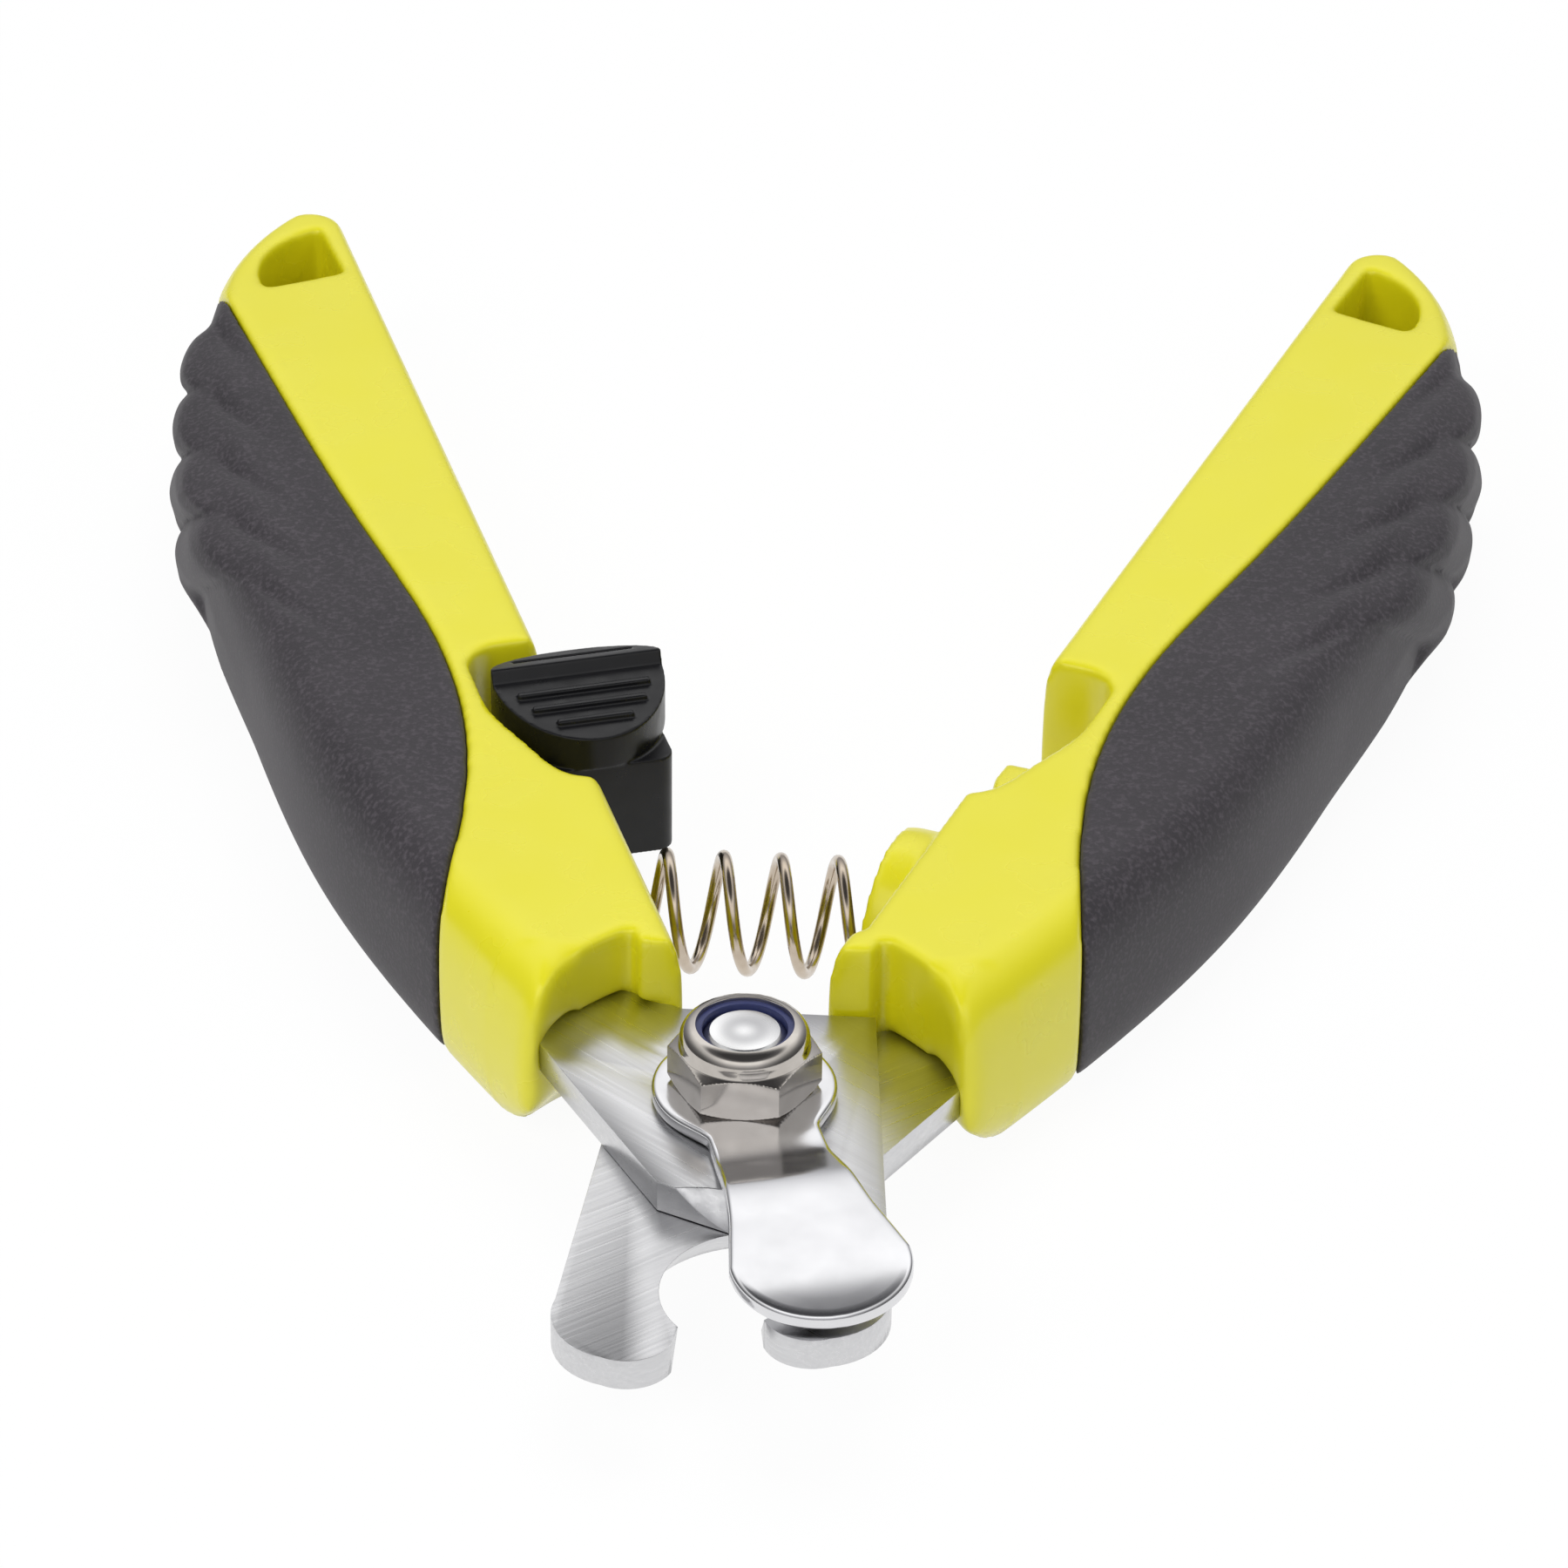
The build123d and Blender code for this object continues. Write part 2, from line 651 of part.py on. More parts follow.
def coil_point(turn):
    """Point of the coil's centre line after a number of turns."""
    angle = 2 * pi * turn
    return Vector(coil_pitch * turn - coil_half, coil_centre + coil_radius * cos(angle),
                  coil_radius * sin(angle))


def coil_way(turn):
    """Direction of the coil's centre line after a number of turns."""
    angle = 2 * pi * turn
    around = 2 * pi * coil_radius
    return Vector(coil_pitch, -around * sin(angle), around * cos(angle)).normalized()


def seat_foot(side):
    """Where a straight wire end meets its seat's floor, and the floor's direction out of the handle."""
    plane = seat_plane(side, spring_floor)
    return plane.from_local_coords((0, side * leg_along, 0)), plane.z_dir


quarters = [k / 4 for k in range(4 * coil_turns + 1)]
left_foot, left_out = seat_foot(-1)
right_foot, right_out = seat_foot(1)
with BuildPart() as opening_spring:
    with BuildLine() as coil_line:
        Line(left_foot, left_foot + left_out * wire)
        add(biarc(left_foot + left_out * wire, left_out, coil_point(0), coil_way(0)))
        for here, there in zip(quarters, quarters[1:]):
            add(biarc(coil_point(here), coil_way(here), coil_point(there), coil_way(there)))
        coil_end = coil_point(coil_turns)
        add(biarc(coil_end, coil_way(coil_turns), right_foot + right_out * wire, right_out * -1))
        Line(right_foot + right_out * wire, right_foot)
    with BuildSketch(Plane(left_foot, z_dir=left_out)):
        Circle(wire / 2)
    sweep()

line_length = coil_line.wire().length
count = samples_per_turn * coil_turns
samples = [(k * line_length / count, coil_line.wire().position_at(k / count)) for k in range(count + 1)]
apart = [(a - b).length for i, (u, a) in enumerate(samples) for v, b in samples[i + 1:] if v - u > 3 * wire]
gap = min(apart) - wire
print(f"spring: least gap to itself {gap:.2f} mm, volume over section times length "
      f"{opening_spring.part.volume / (pi * wire * wire / 4 * line_length):.4f}")

pieces = {
    "left_handle": left_handle.part, "right_handle": right_handle.part,
    "left_grip": left_grip.part, "right_grip": right_grip.part,
    "upper_blade": upper_blade, "lower_blade": lower_blade,
    "left_front_pin": left_pins[0], "left_rear_pin": left_pins[1],
    "right_front_pin": right_pins[0], "right_rear_pin": right_pins[1],
    "nail_guard": nail_guard.part, "lock_nut": lock_nut.part, "nut_insert": nut_insert.part,
    "pivot_bolt": pivot_bolt.part, "bolt_washer": bolt_washer.part,
    "opening_spring": opening_spring.part, "lock_slide": lock_slide.part,
}

# The part's own frame: the middle of its box, on the surface that it lies on
boxes = [solid.bounding_box() for solid in pieces.values()]
middle_x = (min(box.min.X for box in boxes) + max(box.max.X for box in boxes)) / 2
middle_y = (min(box.min.Y for box in boxes) + max(box.max.Y for box in boxes)) / 2
seat = Location((-middle_x, -middle_y, -min(box.min.Z for box in boxes)))
print(f"pivot at {seat.position.X:.4f}, {seat.position.Y:.4f}, {seat.position.Z:.4f} mm")
os.makedirs("parts", exist_ok=True)
for name, solid in pieces.items():
    piece = solid.moved(seat)
    piece.label = name
    export_step(piece, f"parts/{name}.step")
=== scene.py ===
"""Looks of the pet nail clippers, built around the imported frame.

Lengths are written in millimetres and turned to metres where a mesh is made. Pieces that belong to
the pivot are drawn about its axis, with the cutting plane at height zero, and then moved to it.
Places on a half are given as distances out of the clippers' middle and along the handle when closed.
"""
import json
import logging
import math
from contextlib import contextmanager
from dataclasses import dataclass, field
from enum import Enum
from typing import Iterator, Sequence, TypeVar

import bmesh
import bpy
from bpy.types import Material, Mesh, Node, NodeSocket, NodeTree, Object, World
from mathutils import Matrix, Vector


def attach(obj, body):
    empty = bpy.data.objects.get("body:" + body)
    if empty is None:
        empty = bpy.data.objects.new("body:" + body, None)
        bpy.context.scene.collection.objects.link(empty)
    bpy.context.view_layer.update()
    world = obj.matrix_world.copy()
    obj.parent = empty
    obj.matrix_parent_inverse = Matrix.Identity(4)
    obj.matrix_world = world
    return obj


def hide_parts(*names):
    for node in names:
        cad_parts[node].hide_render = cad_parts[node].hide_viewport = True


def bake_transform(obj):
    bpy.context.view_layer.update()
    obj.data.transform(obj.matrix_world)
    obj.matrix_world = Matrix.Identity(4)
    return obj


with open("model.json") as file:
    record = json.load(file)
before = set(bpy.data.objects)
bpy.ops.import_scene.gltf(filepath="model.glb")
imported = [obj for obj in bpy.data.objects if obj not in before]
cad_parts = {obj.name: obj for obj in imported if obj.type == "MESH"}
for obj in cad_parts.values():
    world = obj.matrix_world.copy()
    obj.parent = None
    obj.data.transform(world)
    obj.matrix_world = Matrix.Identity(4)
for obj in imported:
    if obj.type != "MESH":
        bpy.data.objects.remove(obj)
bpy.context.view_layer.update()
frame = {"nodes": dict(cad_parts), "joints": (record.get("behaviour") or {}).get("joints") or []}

MM = 0.001
PIVOT = Vector(frame["joints"][0]["pos_m"])
HALF_OPEN = math.radians(19.0)
# Points closer than this, in millimetres, count as one.
MERGE = 0.001
# Shortest length that is divided by.
TINY = 1e-6
# Share of the way to its neighbours' middle that a point moves when it is evened out.
HALFWAY = 0.5
# Range that most values of a noise pattern lie in.
NOISE_RANGE = (0.3, 0.7)
# Scale at which the wave texture has one ring in each unit of length.
WAVE_FACTOR = 20.0
# Places of a mix node's colour sockets: both inputs, and the output.
MIX_FIRST = 6
MIX_SECOND = 7
MIX_RESULT = 2
LOG = logging.getLogger("clippers")
Value = TypeVar("Value", float, Vector)


class Body(Enum):
    """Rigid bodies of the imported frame."""

    LEFT = "left_half"
    RIGHT = "right_half"
    GUARD = "guard"
    LOCK = "lock"


class Slot(Enum):
    """Material slots of the record."""

    LIME = "lime_plastic"
    GRIP = "soft_grip"
    BLADE = "blade_steel"
    POLISHED = "polished_steel"
    NICKEL = "nickel_plate"
    NYLON = "blue_nylon"
    STEEL = "plain_steel"
    WIRE = "nickel_wire"
    BLACK = "black_plastic"


def linear(code: str) -> tuple[float, float, float, float]:
    """Turn an sRGB hex colour to linear.

    Args:
        code: Six hex digits.

    Returns:
        Linear red, green, blue and an alpha of one.
    """
    parts = [int(code[k:k + 2], 16) / 255 for k in (0, 2, 4)]
    low = [v / 12.92 if v <= 0.04045 else ((v + 0.055) / 1.055) ** 2.4 for v in parts]
    return (low[0], low[1], low[2], 1.0)


def per_mm(size: float) -> float:
    """Texture scale, in cells per metre, of a pattern whose cell is this many millimetres."""
    return 1 / (size * MM)


def empty_tree(owner: Material | World) -> NodeTree:
    """Switch the nodes of a material or world on.

    Args:
        owner: The material or world.

    Returns:
        Its emptied tree.
    """
    owner.use_nodes = True
    owner.node_tree.nodes.clear()
    return owner.node_tree


def add_node(tree: NodeTree, kind: str, inputs: dict | None = None,
             settings: dict | None = None) -> Node:
    """Add one node with its settings, values and links.

    Args:
        tree: Tree that takes the node.
        kind: Type name of the node.
        inputs: Value or output socket for each input, by name or place.
        settings: Properties of the node.

    Returns:
        The new node.
    """
    node = tree.nodes.new(kind)
    for name, value in (settings or {}).items():
        setattr(node, name, value)
    for name, value in (inputs or {}).items():
        if isinstance(value, NodeSocket):
            tree.links.new(value, node.inputs[name])
        else:
            node.inputs[name].default_value = value
    return node


def ramp(factor: NodeSocket, spread: tuple[float, float], out: tuple[float, float]) -> NodeSocket:
    """Spread part of a pattern's range over an output range.

    Args:
        factor: Pattern to spread.
        spread: Pattern values that give the ends of the output.
        out: Ends of the output.

    Returns:
        Socket with the spread values.
    """
    node = add_node(factor.id_data, "ShaderNodeMapRange", {
        "Value": factor, "From Min": spread[0], "From Max": spread[1], "To Min": out[0], "To Max": out[1]})
    return node.outputs["Result"]


def arithmetic(operation: str, first: NodeSocket, second: NodeSocket | float) -> NodeSocket:
    """Join two values by an operation of the math node, and return the result's socket."""
    node = add_node(first.id_data, "ShaderNodeMath", {0: first, 1: second}, {"operation": operation})
    return node.outputs[0]


def two_tone(factor: NodeSocket, first: str, second: str) -> NodeSocket:
    """Mix two hex colours by a pattern, and return the colour's socket."""
    colours = {"Factor": factor, MIX_FIRST: linear(first), MIX_SECOND: linear(second)}
    return add_node(factor.id_data, "ShaderNodeMix", colours, {"data_type": "RGBA"}).outputs[MIX_RESULT]


def noise(place: NodeSocket, size: float, detail: float) -> NodeSocket:
    """Add a noise pattern with cells of a size in millimetres, and return the socket of its values."""
    pattern = {"Vector": place, "Scale": per_mm(size), "Detail": detail}
    return add_node(place.id_data, "ShaderNodeTexNoise", pattern).outputs["Fac"]


def bumped(height: NodeSocket, strength: float, deep: float) -> NodeSocket:
    """Raise a pattern by a height in millimetres, and return the socket of the normals."""
    relief = {"Height": height, "Strength": strength, "Distance": deep * MM}
    return add_node(height.id_data, "ShaderNodeBump", relief).outputs["Normal"]


@dataclass(frozen=True)
class Finish:
    """Base of the finishes: a named material on Object coordinates."""

    name: str
    slot: Slot

    def shade(self, place: NodeSocket) -> dict:
        """Add the finish's patterns.

        Args:
            place: Object coordinates.

        Returns:
            Inputs of the shader.
        """
        raise NotImplementedError

    def material(self) -> Material:
        """Make the material once.

        Returns:
            The material, the same one at each call.
        """
        known = bpy.data.materials.get(self.name)
        if known:
            return known
        made = bpy.data.materials.new(self.name)
        tree = empty_tree(made)
        place = add_node(tree, "ShaderNodeTexCoord").outputs["Object"]
        shader = add_node(tree, "ShaderNodeBsdfPrincipled", self.shade(place))
        add_node(tree, "ShaderNodeOutputMaterial", {"Surface": shader.outputs[0]})
        return made


@dataclass(frozen=True)
class GlossyAbs(Finish):
    """Injection-moulded ABS: even colour, clear gloss, and the faint waves that a polished mould leaves."""

    colour: str = "DED71A"
    deep: str = "D7CF10"
    roughness: tuple[float, float] = (0.24, 0.34)
    wave: float = 5.0
    wave_detail: float = 3.0
    wave_strength: float = 0.05
    wave_height: float = 0.1
    cloud: float = 18.0
    cloud_detail: float = 2.0
    specular: float = 0.5
    ior: float = 1.53

    def shade(self, place: NodeSocket) -> dict:
        """Add cloudy colour, uneven gloss and a faint wave.

        Args:
            place: Object coordinates.

        Returns:
            Inputs of the shader.
        """
        cloud = noise(place, self.cloud, self.cloud_detail)
        wave = noise(place, self.wave, self.wave_detail)
        return {
            "Base Color": two_tone(cloud, self.colour, self.deep),
            "Roughness": ramp(wave, NOISE_RANGE, self.roughness),
            "Normal": bumped(wave, self.wave_strength, self.wave_height),
            "IOR": self.ior, "Specular IOR Level": self.specular,
        }


@dataclass(frozen=True)
class SoftElastomer(Finish):
    """Over-moulded thermoplastic rubber: dark, matte, with the fine speckle of an eroded mould."""

    colour: str = "262327"
    pale: str = "4C474C"
    grain: float = 0.32
    grain_detail: float = 2.0
    grain_strength: float = 0.35
    grain_height: float = 0.06
    speckle: tuple[float, float] = (0.45, 0.72)
    speckle_share: float = 0.8
    cloud: float = 14.0
    cloud_detail: float = 3.0
    cloud_share: float = 0.2
    roughness: tuple[float, float] = (0.56, 0.72)
    ior: float = 1.5
    sheen: float = 0.05
    sheen_roughness: float = 0.5

    def shade(self, place: NodeSocket) -> dict:
        """Add the speckle, a slow change of tone and a fine bump.

        Args:
            place: Object coordinates.

        Returns:
            Inputs of the shader.
        """
        grain = noise(place, self.grain, self.grain_detail)
        cloud = noise(place, self.cloud, self.cloud_detail)
        speckle = ramp(grain, self.speckle, (0.0, self.speckle_share))
        clouded = ramp(cloud, NOISE_RANGE, (0.0, self.cloud_share))
        tone = arithmetic("ADD", speckle, clouded)
        return {
            "Base Color": two_tone(tone, self.colour, self.pale),
            "Roughness": ramp(grain, NOISE_RANGE, self.roughness),
            "Normal": bumped(grain, self.grain_strength, self.grain_height),
            "IOR": self.ior, "Sheen Weight": self.sheen, "Sheen Roughness": self.sheen_roughness,
        }


@dataclass(frozen=True)
class GroundSteel(Finish):
    """Stainless strip, ground on a belt: satin, with fine scratches that run one way."""

    colour: str = "DBDBDC"
    dark: str = "CACACC"
    turn: float = 0.0
    line: float = 0.22
    run: float = 14.0
    line_detail: float = 4.0
    line_roughness: float = 0.6
    roughness: tuple[float, float] = (0.22, 0.36)
    depth: float = 0.12
    scratch: float = 0.05

    def shade(self, place: NodeSocket) -> dict:
        """Add scratches along the grinding direction.

        Args:
            place: Object coordinates.

        Returns:
            Inputs of the shader.
        """
        tree = place.id_data
        turned = add_node(tree, "ShaderNodeMapping", {
            "Vector": place, "Rotation": (0, 0, math.radians(self.turn))})
        laid = add_node(tree, "ShaderNodeMapping", {
            "Vector": turned.outputs[0], "Scale": (per_mm(self.run), per_mm(self.line), per_mm(self.line))})
        lines = add_node(tree, "ShaderNodeTexNoise", {
            "Vector": laid.outputs[0], "Scale": 1.0, "Detail": self.line_detail,
            "Roughness": self.line_roughness}).outputs["Fac"]
        return {
            "Base Color": two_tone(lines, self.colour, self.dark),
            "Roughness": ramp(lines, NOISE_RANGE, self.roughness),
            "Normal": bumped(lines, self.depth, self.scratch), "Metallic": 1.0,
        }


@dataclass(frozen=True)
class BrightMetal(Finish):
    """Buffed or plated metal: a mirror with faint smears from handling."""

    colour: str = "E4E4E6"
    tarnish: str = "D8D8DA"
    roughness: tuple[float, float] = (0.05, 0.11)
    smear: float = 3.0
    smear_detail: float = 5.0

    def shade(self, place: NodeSocket) -> dict:
        """Add smears to the gloss and the tone.

        Args:
            place: Object coordinates.

        Returns:
            Inputs of the shader.
        """
        smear = noise(place, self.smear, self.smear_detail)
        return {
            "Base Color": two_tone(smear, self.colour, self.tarnish),
            "Roughness": ramp(smear, NOISE_RANGE, self.roughness), "Metallic": 1.0,
        }


@dataclass(frozen=True)
class TurnedSteel(Finish):
    """Steel faced on a lathe: rings about the pivot's axis."""

    colour: str = "ECECEC"
    dark: str = "D4D4D5"
    ring: float = 0.3
    wobble: float = 1.0
    wobble_detail: float = 2.0
    roughness: tuple[float, float] = (0.24, 0.36)

    def shade(self, place: NodeSocket) -> dict:
        """Add the turning rings.

        Args:
            place: Object coordinates.

        Returns:
            Inputs of the shader.
        """
        tree = place.id_data
        centred = add_node(tree, "ShaderNodeMapping", {"Vector": place, "Location": tuple(-PIVOT)})
        rings = add_node(tree, "ShaderNodeTexWave", {
            "Vector": centred.outputs[0], "Scale": per_mm(self.ring) / WAVE_FACTOR,
            "Distortion": self.wobble, "Detail": self.wobble_detail,
        }, {"wave_type": "RINGS", "rings_direction": "Z"}).outputs["Fac"]
        return {
            "Base Color": two_tone(rings, self.colour, self.dark),
            "Roughness": ramp(rings, (0.0, 1.0), self.roughness), "Metallic": 1.0,
        }


LIME = GlossyAbs("lime_abs_moulded", Slot.LIME, specular=0.65)
BLACK = GlossyAbs("black_abs_moulded", Slot.BLACK, colour="141416", deep="0F0F11",
                  roughness=(0.26, 0.38), wave=1.5, specular=0.3)
GRIP = SoftElastomer("charcoal_elastomer_moulded", Slot.GRIP)
UPPER_STEEL = GroundSteel("stainless_ground_fine", Slot.BLADE, turn=40.0,
                          roughness=(0.26, 0.34), depth=0.05)
LOWER_STEEL = GroundSteel("stainless_ground_coarse", Slot.BLADE, turn=-38.0,
                          roughness=(0.26, 0.36), depth=0.2)
GUARD_STEEL = BrightMetal("stainless_buffed", Slot.POLISHED, roughness=(0.13, 0.22))
NUT_NICKEL = BrightMetal("nickel_plate_bright", Slot.NICKEL, colour="C9C4BE", tarnish="B3ADA6",
                         roughness=(0.08, 0.16), smear=1.2)
WIRE_NICKEL = BrightMetal("nickel_wire_drawn", Slot.WIRE, colour="CFC2B2", tarnish="B5A694",
                          roughness=(0.14, 0.24), smear=0.9)
NYLON = GlossyAbs("navy_nylon_ring", Slot.NYLON, colour="333A66", deep="272D55",
                  roughness=(0.34, 0.46), wave=0.8)
STEEL = TurnedSteel("steel_turned", Slot.STEEL)


def new_piece(name: str, mesh: Mesh) -> Object:
    """Link a new object for a mesh.

    Args:
        name: Name of the object.
        mesh: Its mesh.

    Returns:
        The object.
    """
    piece = bpy.data.objects.new(name, mesh)
    bpy.context.scene.collection.objects.link(piece)
    return piece


def bake_modifiers(piece: Object) -> None:
    """Turn a piece's modifiers into its plain mesh.

    Args:
        piece: Object with modifiers.
    """
    graph = bpy.context.evaluated_depsgraph_get()
    mesh = bpy.data.meshes.new_from_object(piece.evaluated_get(graph))
    piece.modifiers.clear()
    piece.data = mesh


def dress(piece: Object, finish: Finish, body: Body, *nodes: str) -> Object:
    """Give a piece its finish, its body and the nodes that it stands for.

    Args:
        piece: Finished mesh object.
        finish: Its material.
        body: Body that it rides on.
        nodes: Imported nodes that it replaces.

    Returns:
        The piece.
    """
    piece.data.materials.clear()
    piece.data.materials.append(finish.material())
    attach(piece, body.value)
    if nodes:
        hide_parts(*nodes)
    LOG.info("%s: %d faces, rides on %s", piece.name, len(piece.data.polygons), body.value)
    return piece


@contextmanager
def edited(mesh: Mesh) -> Iterator[bmesh.types.BMesh]:
    """Open a mesh for editing, and write it back at the end.

    Args:
        mesh: Mesh to edit.

    Returns:
        The open mesh, for a with statement.
    """
    shape = bmesh.new()
    shape.from_mesh(mesh)
    yield shape
    shape.to_mesh(mesh)
    shape.free()


def crease(mesh: Mesh, angle: float) -> None:
    """Shade a mesh smooth, apart from edges that turn by more than an angle in degrees."""
    mesh.shade_smooth()
    mesh.set_sharp_from_angle(angle=math.radians(angle))


def node_copy(node: str, name: str) -> Object:
    """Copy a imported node's mesh, with its doubles merged, into a new piece.

    Args:
        node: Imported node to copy.
        name: Name of the piece.

    Returns:
        The piece, not yet dressed.
    """
    mesh = frame["nodes"][node].data.copy()
    mesh.name = name
    with edited(mesh) as shape:
        bmesh.ops.remove_doubles(shape, verts=shape.verts, dist=MERGE * MM)
    return new_piece(name, mesh)


@dataclass
class MouldedPiece:
    """Moulded piece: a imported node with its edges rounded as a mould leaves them."""

    node: str
    body: Body
    finish: Finish
    voxel: float
    rounds: int

    def sculpt(self, mesh: Mesh) -> None:
        """Move the softened mesh's points; a plain piece keeps them."""

    def build(self) -> Object:
        """Remesh a copy of the node, lay it on the node, soften it and dress it.

        Returns:
            The dressed piece.
        """
        piece = node_copy(self.node, f"{self.node}_moulded")
        remesh = piece.modifiers.new("skin", "REMESH")
        remesh.mode = "VOXEL"
        remesh.voxel_size = self.voxel * MM
        lay = piece.modifiers.new("laid_on_node", "SHRINKWRAP")
        lay.target = frame["nodes"][self.node]
        lay.wrap_method = "NEAREST_SURFACEPOINT"
        smooth = piece.modifiers.new("soft_edges", "SMOOTH")
        smooth.factor = HALFWAY
        smooth.iterations = self.rounds
        bake_modifiers(piece)
        self.sculpt(piece.data)
        piece.data.shade_smooth()
        return dress(piece, self.finish, self.body, self.node)


def smooth_step(low: float, high: float, at: float) -> float:
    """Rise from zero at low to one at high, level at both ends; low may be the larger."""
    share = min(max((at - low) / (high - low), 0.0), 1.0)
    return share * share * (3 - 2 * share)


def half_ways(side: int) -> tuple[Vector, Vector]:
    """Directions of one half at rest.

    Args:
        side: -1 for the left half, 1 for the right one.

    Returns:
        Direction out of the clippers' middle, and direction along the handle.
    """
    turn = -side * HALF_OPEN
    return Vector((math.cos(turn), math.sin(turn), 0)) * side, Vector((-math.sin(turn), math.cos(turn), 0))


def relax(mesh: Mesh, chosen: set[int] | None, rounds: int) -> None:
    """Even out points of a mesh.

    Args:
        mesh: Mesh to even out.
        chosen: Numbers of the points that may move, or None for all of them.
        rounds: How often each point moves halfway to its neighbours' middle.
    """
    with edited(mesh) as shape:
        points = [v for v in shape.verts if chosen is None or v.index in chosen]
        for _ in range(rounds):
            bmesh.ops.smooth_vert(shape, verts=points, factor=HALFWAY,
                                  use_axis_x=True, use_axis_y=True, use_axis_z=True)


@dataclass
class FrontRound(MouldedPiece):
    """Handle whose outer front corner is rounded off, as the mould leaves it."""

    side: int = 1
    corner: tuple[float, float] = (11.2, 8.4)
    reach: float = 4.6
    corner_rounds: int = 40

    def sculpt(self, mesh: Mesh) -> None:
        """Even out the points about the outer front corner.

        Args:
            mesh: The softened mesh.
        """
        out, along = half_ways(self.side)
        corner = out * self.corner[0] + along * self.corner[1]
        chosen = set()
        for vertex in mesh.vertices:
            away = (vertex.co - PIVOT) / MM - corner
            if math.hypot(away.x, away.y) < self.reach:
                chosen.add(vertex.index)
        relax(mesh, chosen, self.corner_rounds)


def through(points: Sequence[tuple[float, float]], at: float) -> float:
    """Follow straight lines through points.

    Args:
        points: Pairs of place and value, of rising place.
        at: Place to read.

    Returns:
        The value there.
    """
    for (x0, y0), (x1, y1) in zip(points, points[1:]):
        if at <= x1:
            return y0 + (y1 - y0) * (max(at, x0) - x0) / (x1 - x0)
    return points[-1][1]


@dataclass
class RibbedGrip(MouldedPiece):
    """Grip whose ribs swell into full lobes, with creases between them that run in over its flat faces."""

    side: int = 1
    count: int = 4
    first: float = 103.4
    pitch: float = 9.15
    valley: float = 0.5
    lobe: float = 1.35
    lean: float = 1.6
    apex: float = -2.5
    apex_round: float = 1.0
    under: tuple[float, float] = (-4.8, -2.4)
    slope: float = 2.2
    ridge: float = 1.2
    rim_depth: float = 1.2
    fade: tuple[float, float] = (1.5, 6.0)
    tip_fade: tuple[float, float] = (104.6, 102.2)
    tail: float = 16.0
    seam_fade: tuple[float, float] = (0.3, 2.2)
    skin: tuple[float, float] = (-2.3, -1.0)
    side_levels: tuple[float, float] = (0.97, 0.76)
    face_levels: tuple[float, float] = (0.8, 0.97)
    face_normals: tuple[float, float] = (0.6, 0.95)
    before_first: tuple[float, float] = (-0.9, -0.4)
    after_last: tuple[float, float] = (0.8, 0.3)
    even_rounds: int = 3
    half_height: float = 6.8
    edge: list[tuple[float, float]] = field(default_factory=lambda: [
        (21.5, 15.4), (29.7, 17.25), (38.0, 18.6), (47.5, 19.35), (57.0, 19.5), (67.0, 19.35), (77.0, 18.9),
        (85.5, 17.75), (94.0, 15.9), (101.0, 13.75), (108.2, 10.9)])
    inset: list[tuple[float, float]] = field(default_factory=lambda: [
        (0.0, 0.0), (0.6, 0.33), (0.86, 1.15), (1.0, 2.6)])
    seam: list[tuple[float, float]] = field(default_factory=lambda: [
        (37.8, 8.5), (50.0, 7.8), (65.0, 9.3), (89.6, 11.4), (108.3, 12.6)])

    def scallop(self, phase: float) -> float:
        """Round outline of the lobes.

        Args:
            phase: Place in pitches, back from the first crest.

        Returns:
            Zero in a crease, one on a crest.
        """
        near = min(max(round(phase), 0), self.count - 1)
        off = min(2 * abs(phase - near), 1.0)
        return math.sqrt(1 - off * off)

    def trail(self, z: float) -> float:
        """How far back a rib lies at a height, against the middle: it leans back either way from its apex."""
        middle = math.hypot(self.apex, self.apex_round)
        return self.lean * (math.hypot(z - self.apex, self.apex_round) - middle)

    def swell(self, s: float, t: float, z: float, lying: float) -> tuple[float, float]:
        """Work out how a point of the skin moves.

        Args:
            s: Its distance out of the middle.
            t: Its distance along the handle.
            z: Its height above the cutting plane.
            lying: How far its surface lies flat, from 0 on a wall to 1 on a face.

        Returns:
            How far it moves out, and how far it sinks into the flat face.
        """
        level = abs(z) / self.half_height
        outer = through(self.edge, t)
        depth = outer - s
        back = self.trail(z) + self.slope * max(depth - self.rim_depth, 0.0)
        phase = (self.first - t - back) / self.pitch
        lobes = self.scallop(phase)
        end = self.first - (self.count - 1) * self.pitch - self.pitch / 2
        ends = smooth_step(*self.tip_fade, t) * smooth_step(end - self.tail, end, t)
        here = s - (outer - through(self.inset, level))
        held = smooth_step(*self.skin, here) * smooth_step(*self.side_levels, level) * ends
        proud = self.valley + self.lobe * lobes * smooth_step(*self.under, z)
        flat = smooth_step(*self.face_normals, lying) * smooth_step(*self.face_levels, level)
        off_seam = smooth_step(*self.seam_fade, s - through(self.seam, t))
        led = (1 - smooth_step(*self.fade, depth)) * off_seam
        last = self.count - 1
        spare = (smooth_step(last + self.after_last[0], last + self.after_last[1], phase)
                 * smooth_step(*self.before_first, phase))
        return (proud - here) * held, self.ridge * (1 - lobes) * flat * led * spare

    def sculpt(self, mesh: Mesh) -> None:
        """Swell the lobes outwards and lead the creases in over the faces.

        Args:
            mesh: The softened mesh.
        """
        out, along = half_ways(self.side)
        upright = [abs(vertex.normal.z) for vertex in mesh.vertices]
        for vertex, lying in zip(mesh.vertices, upright):
            place = (vertex.co - PIVOT) / MM
            move, sink = self.swell(place.dot(out), place.dot(along), place.z, lying)
            vertex.co += out * (move * MM)
            vertex.co.z -= math.copysign(sink * MM, place.z)
        relax(mesh, None, self.even_rounds)


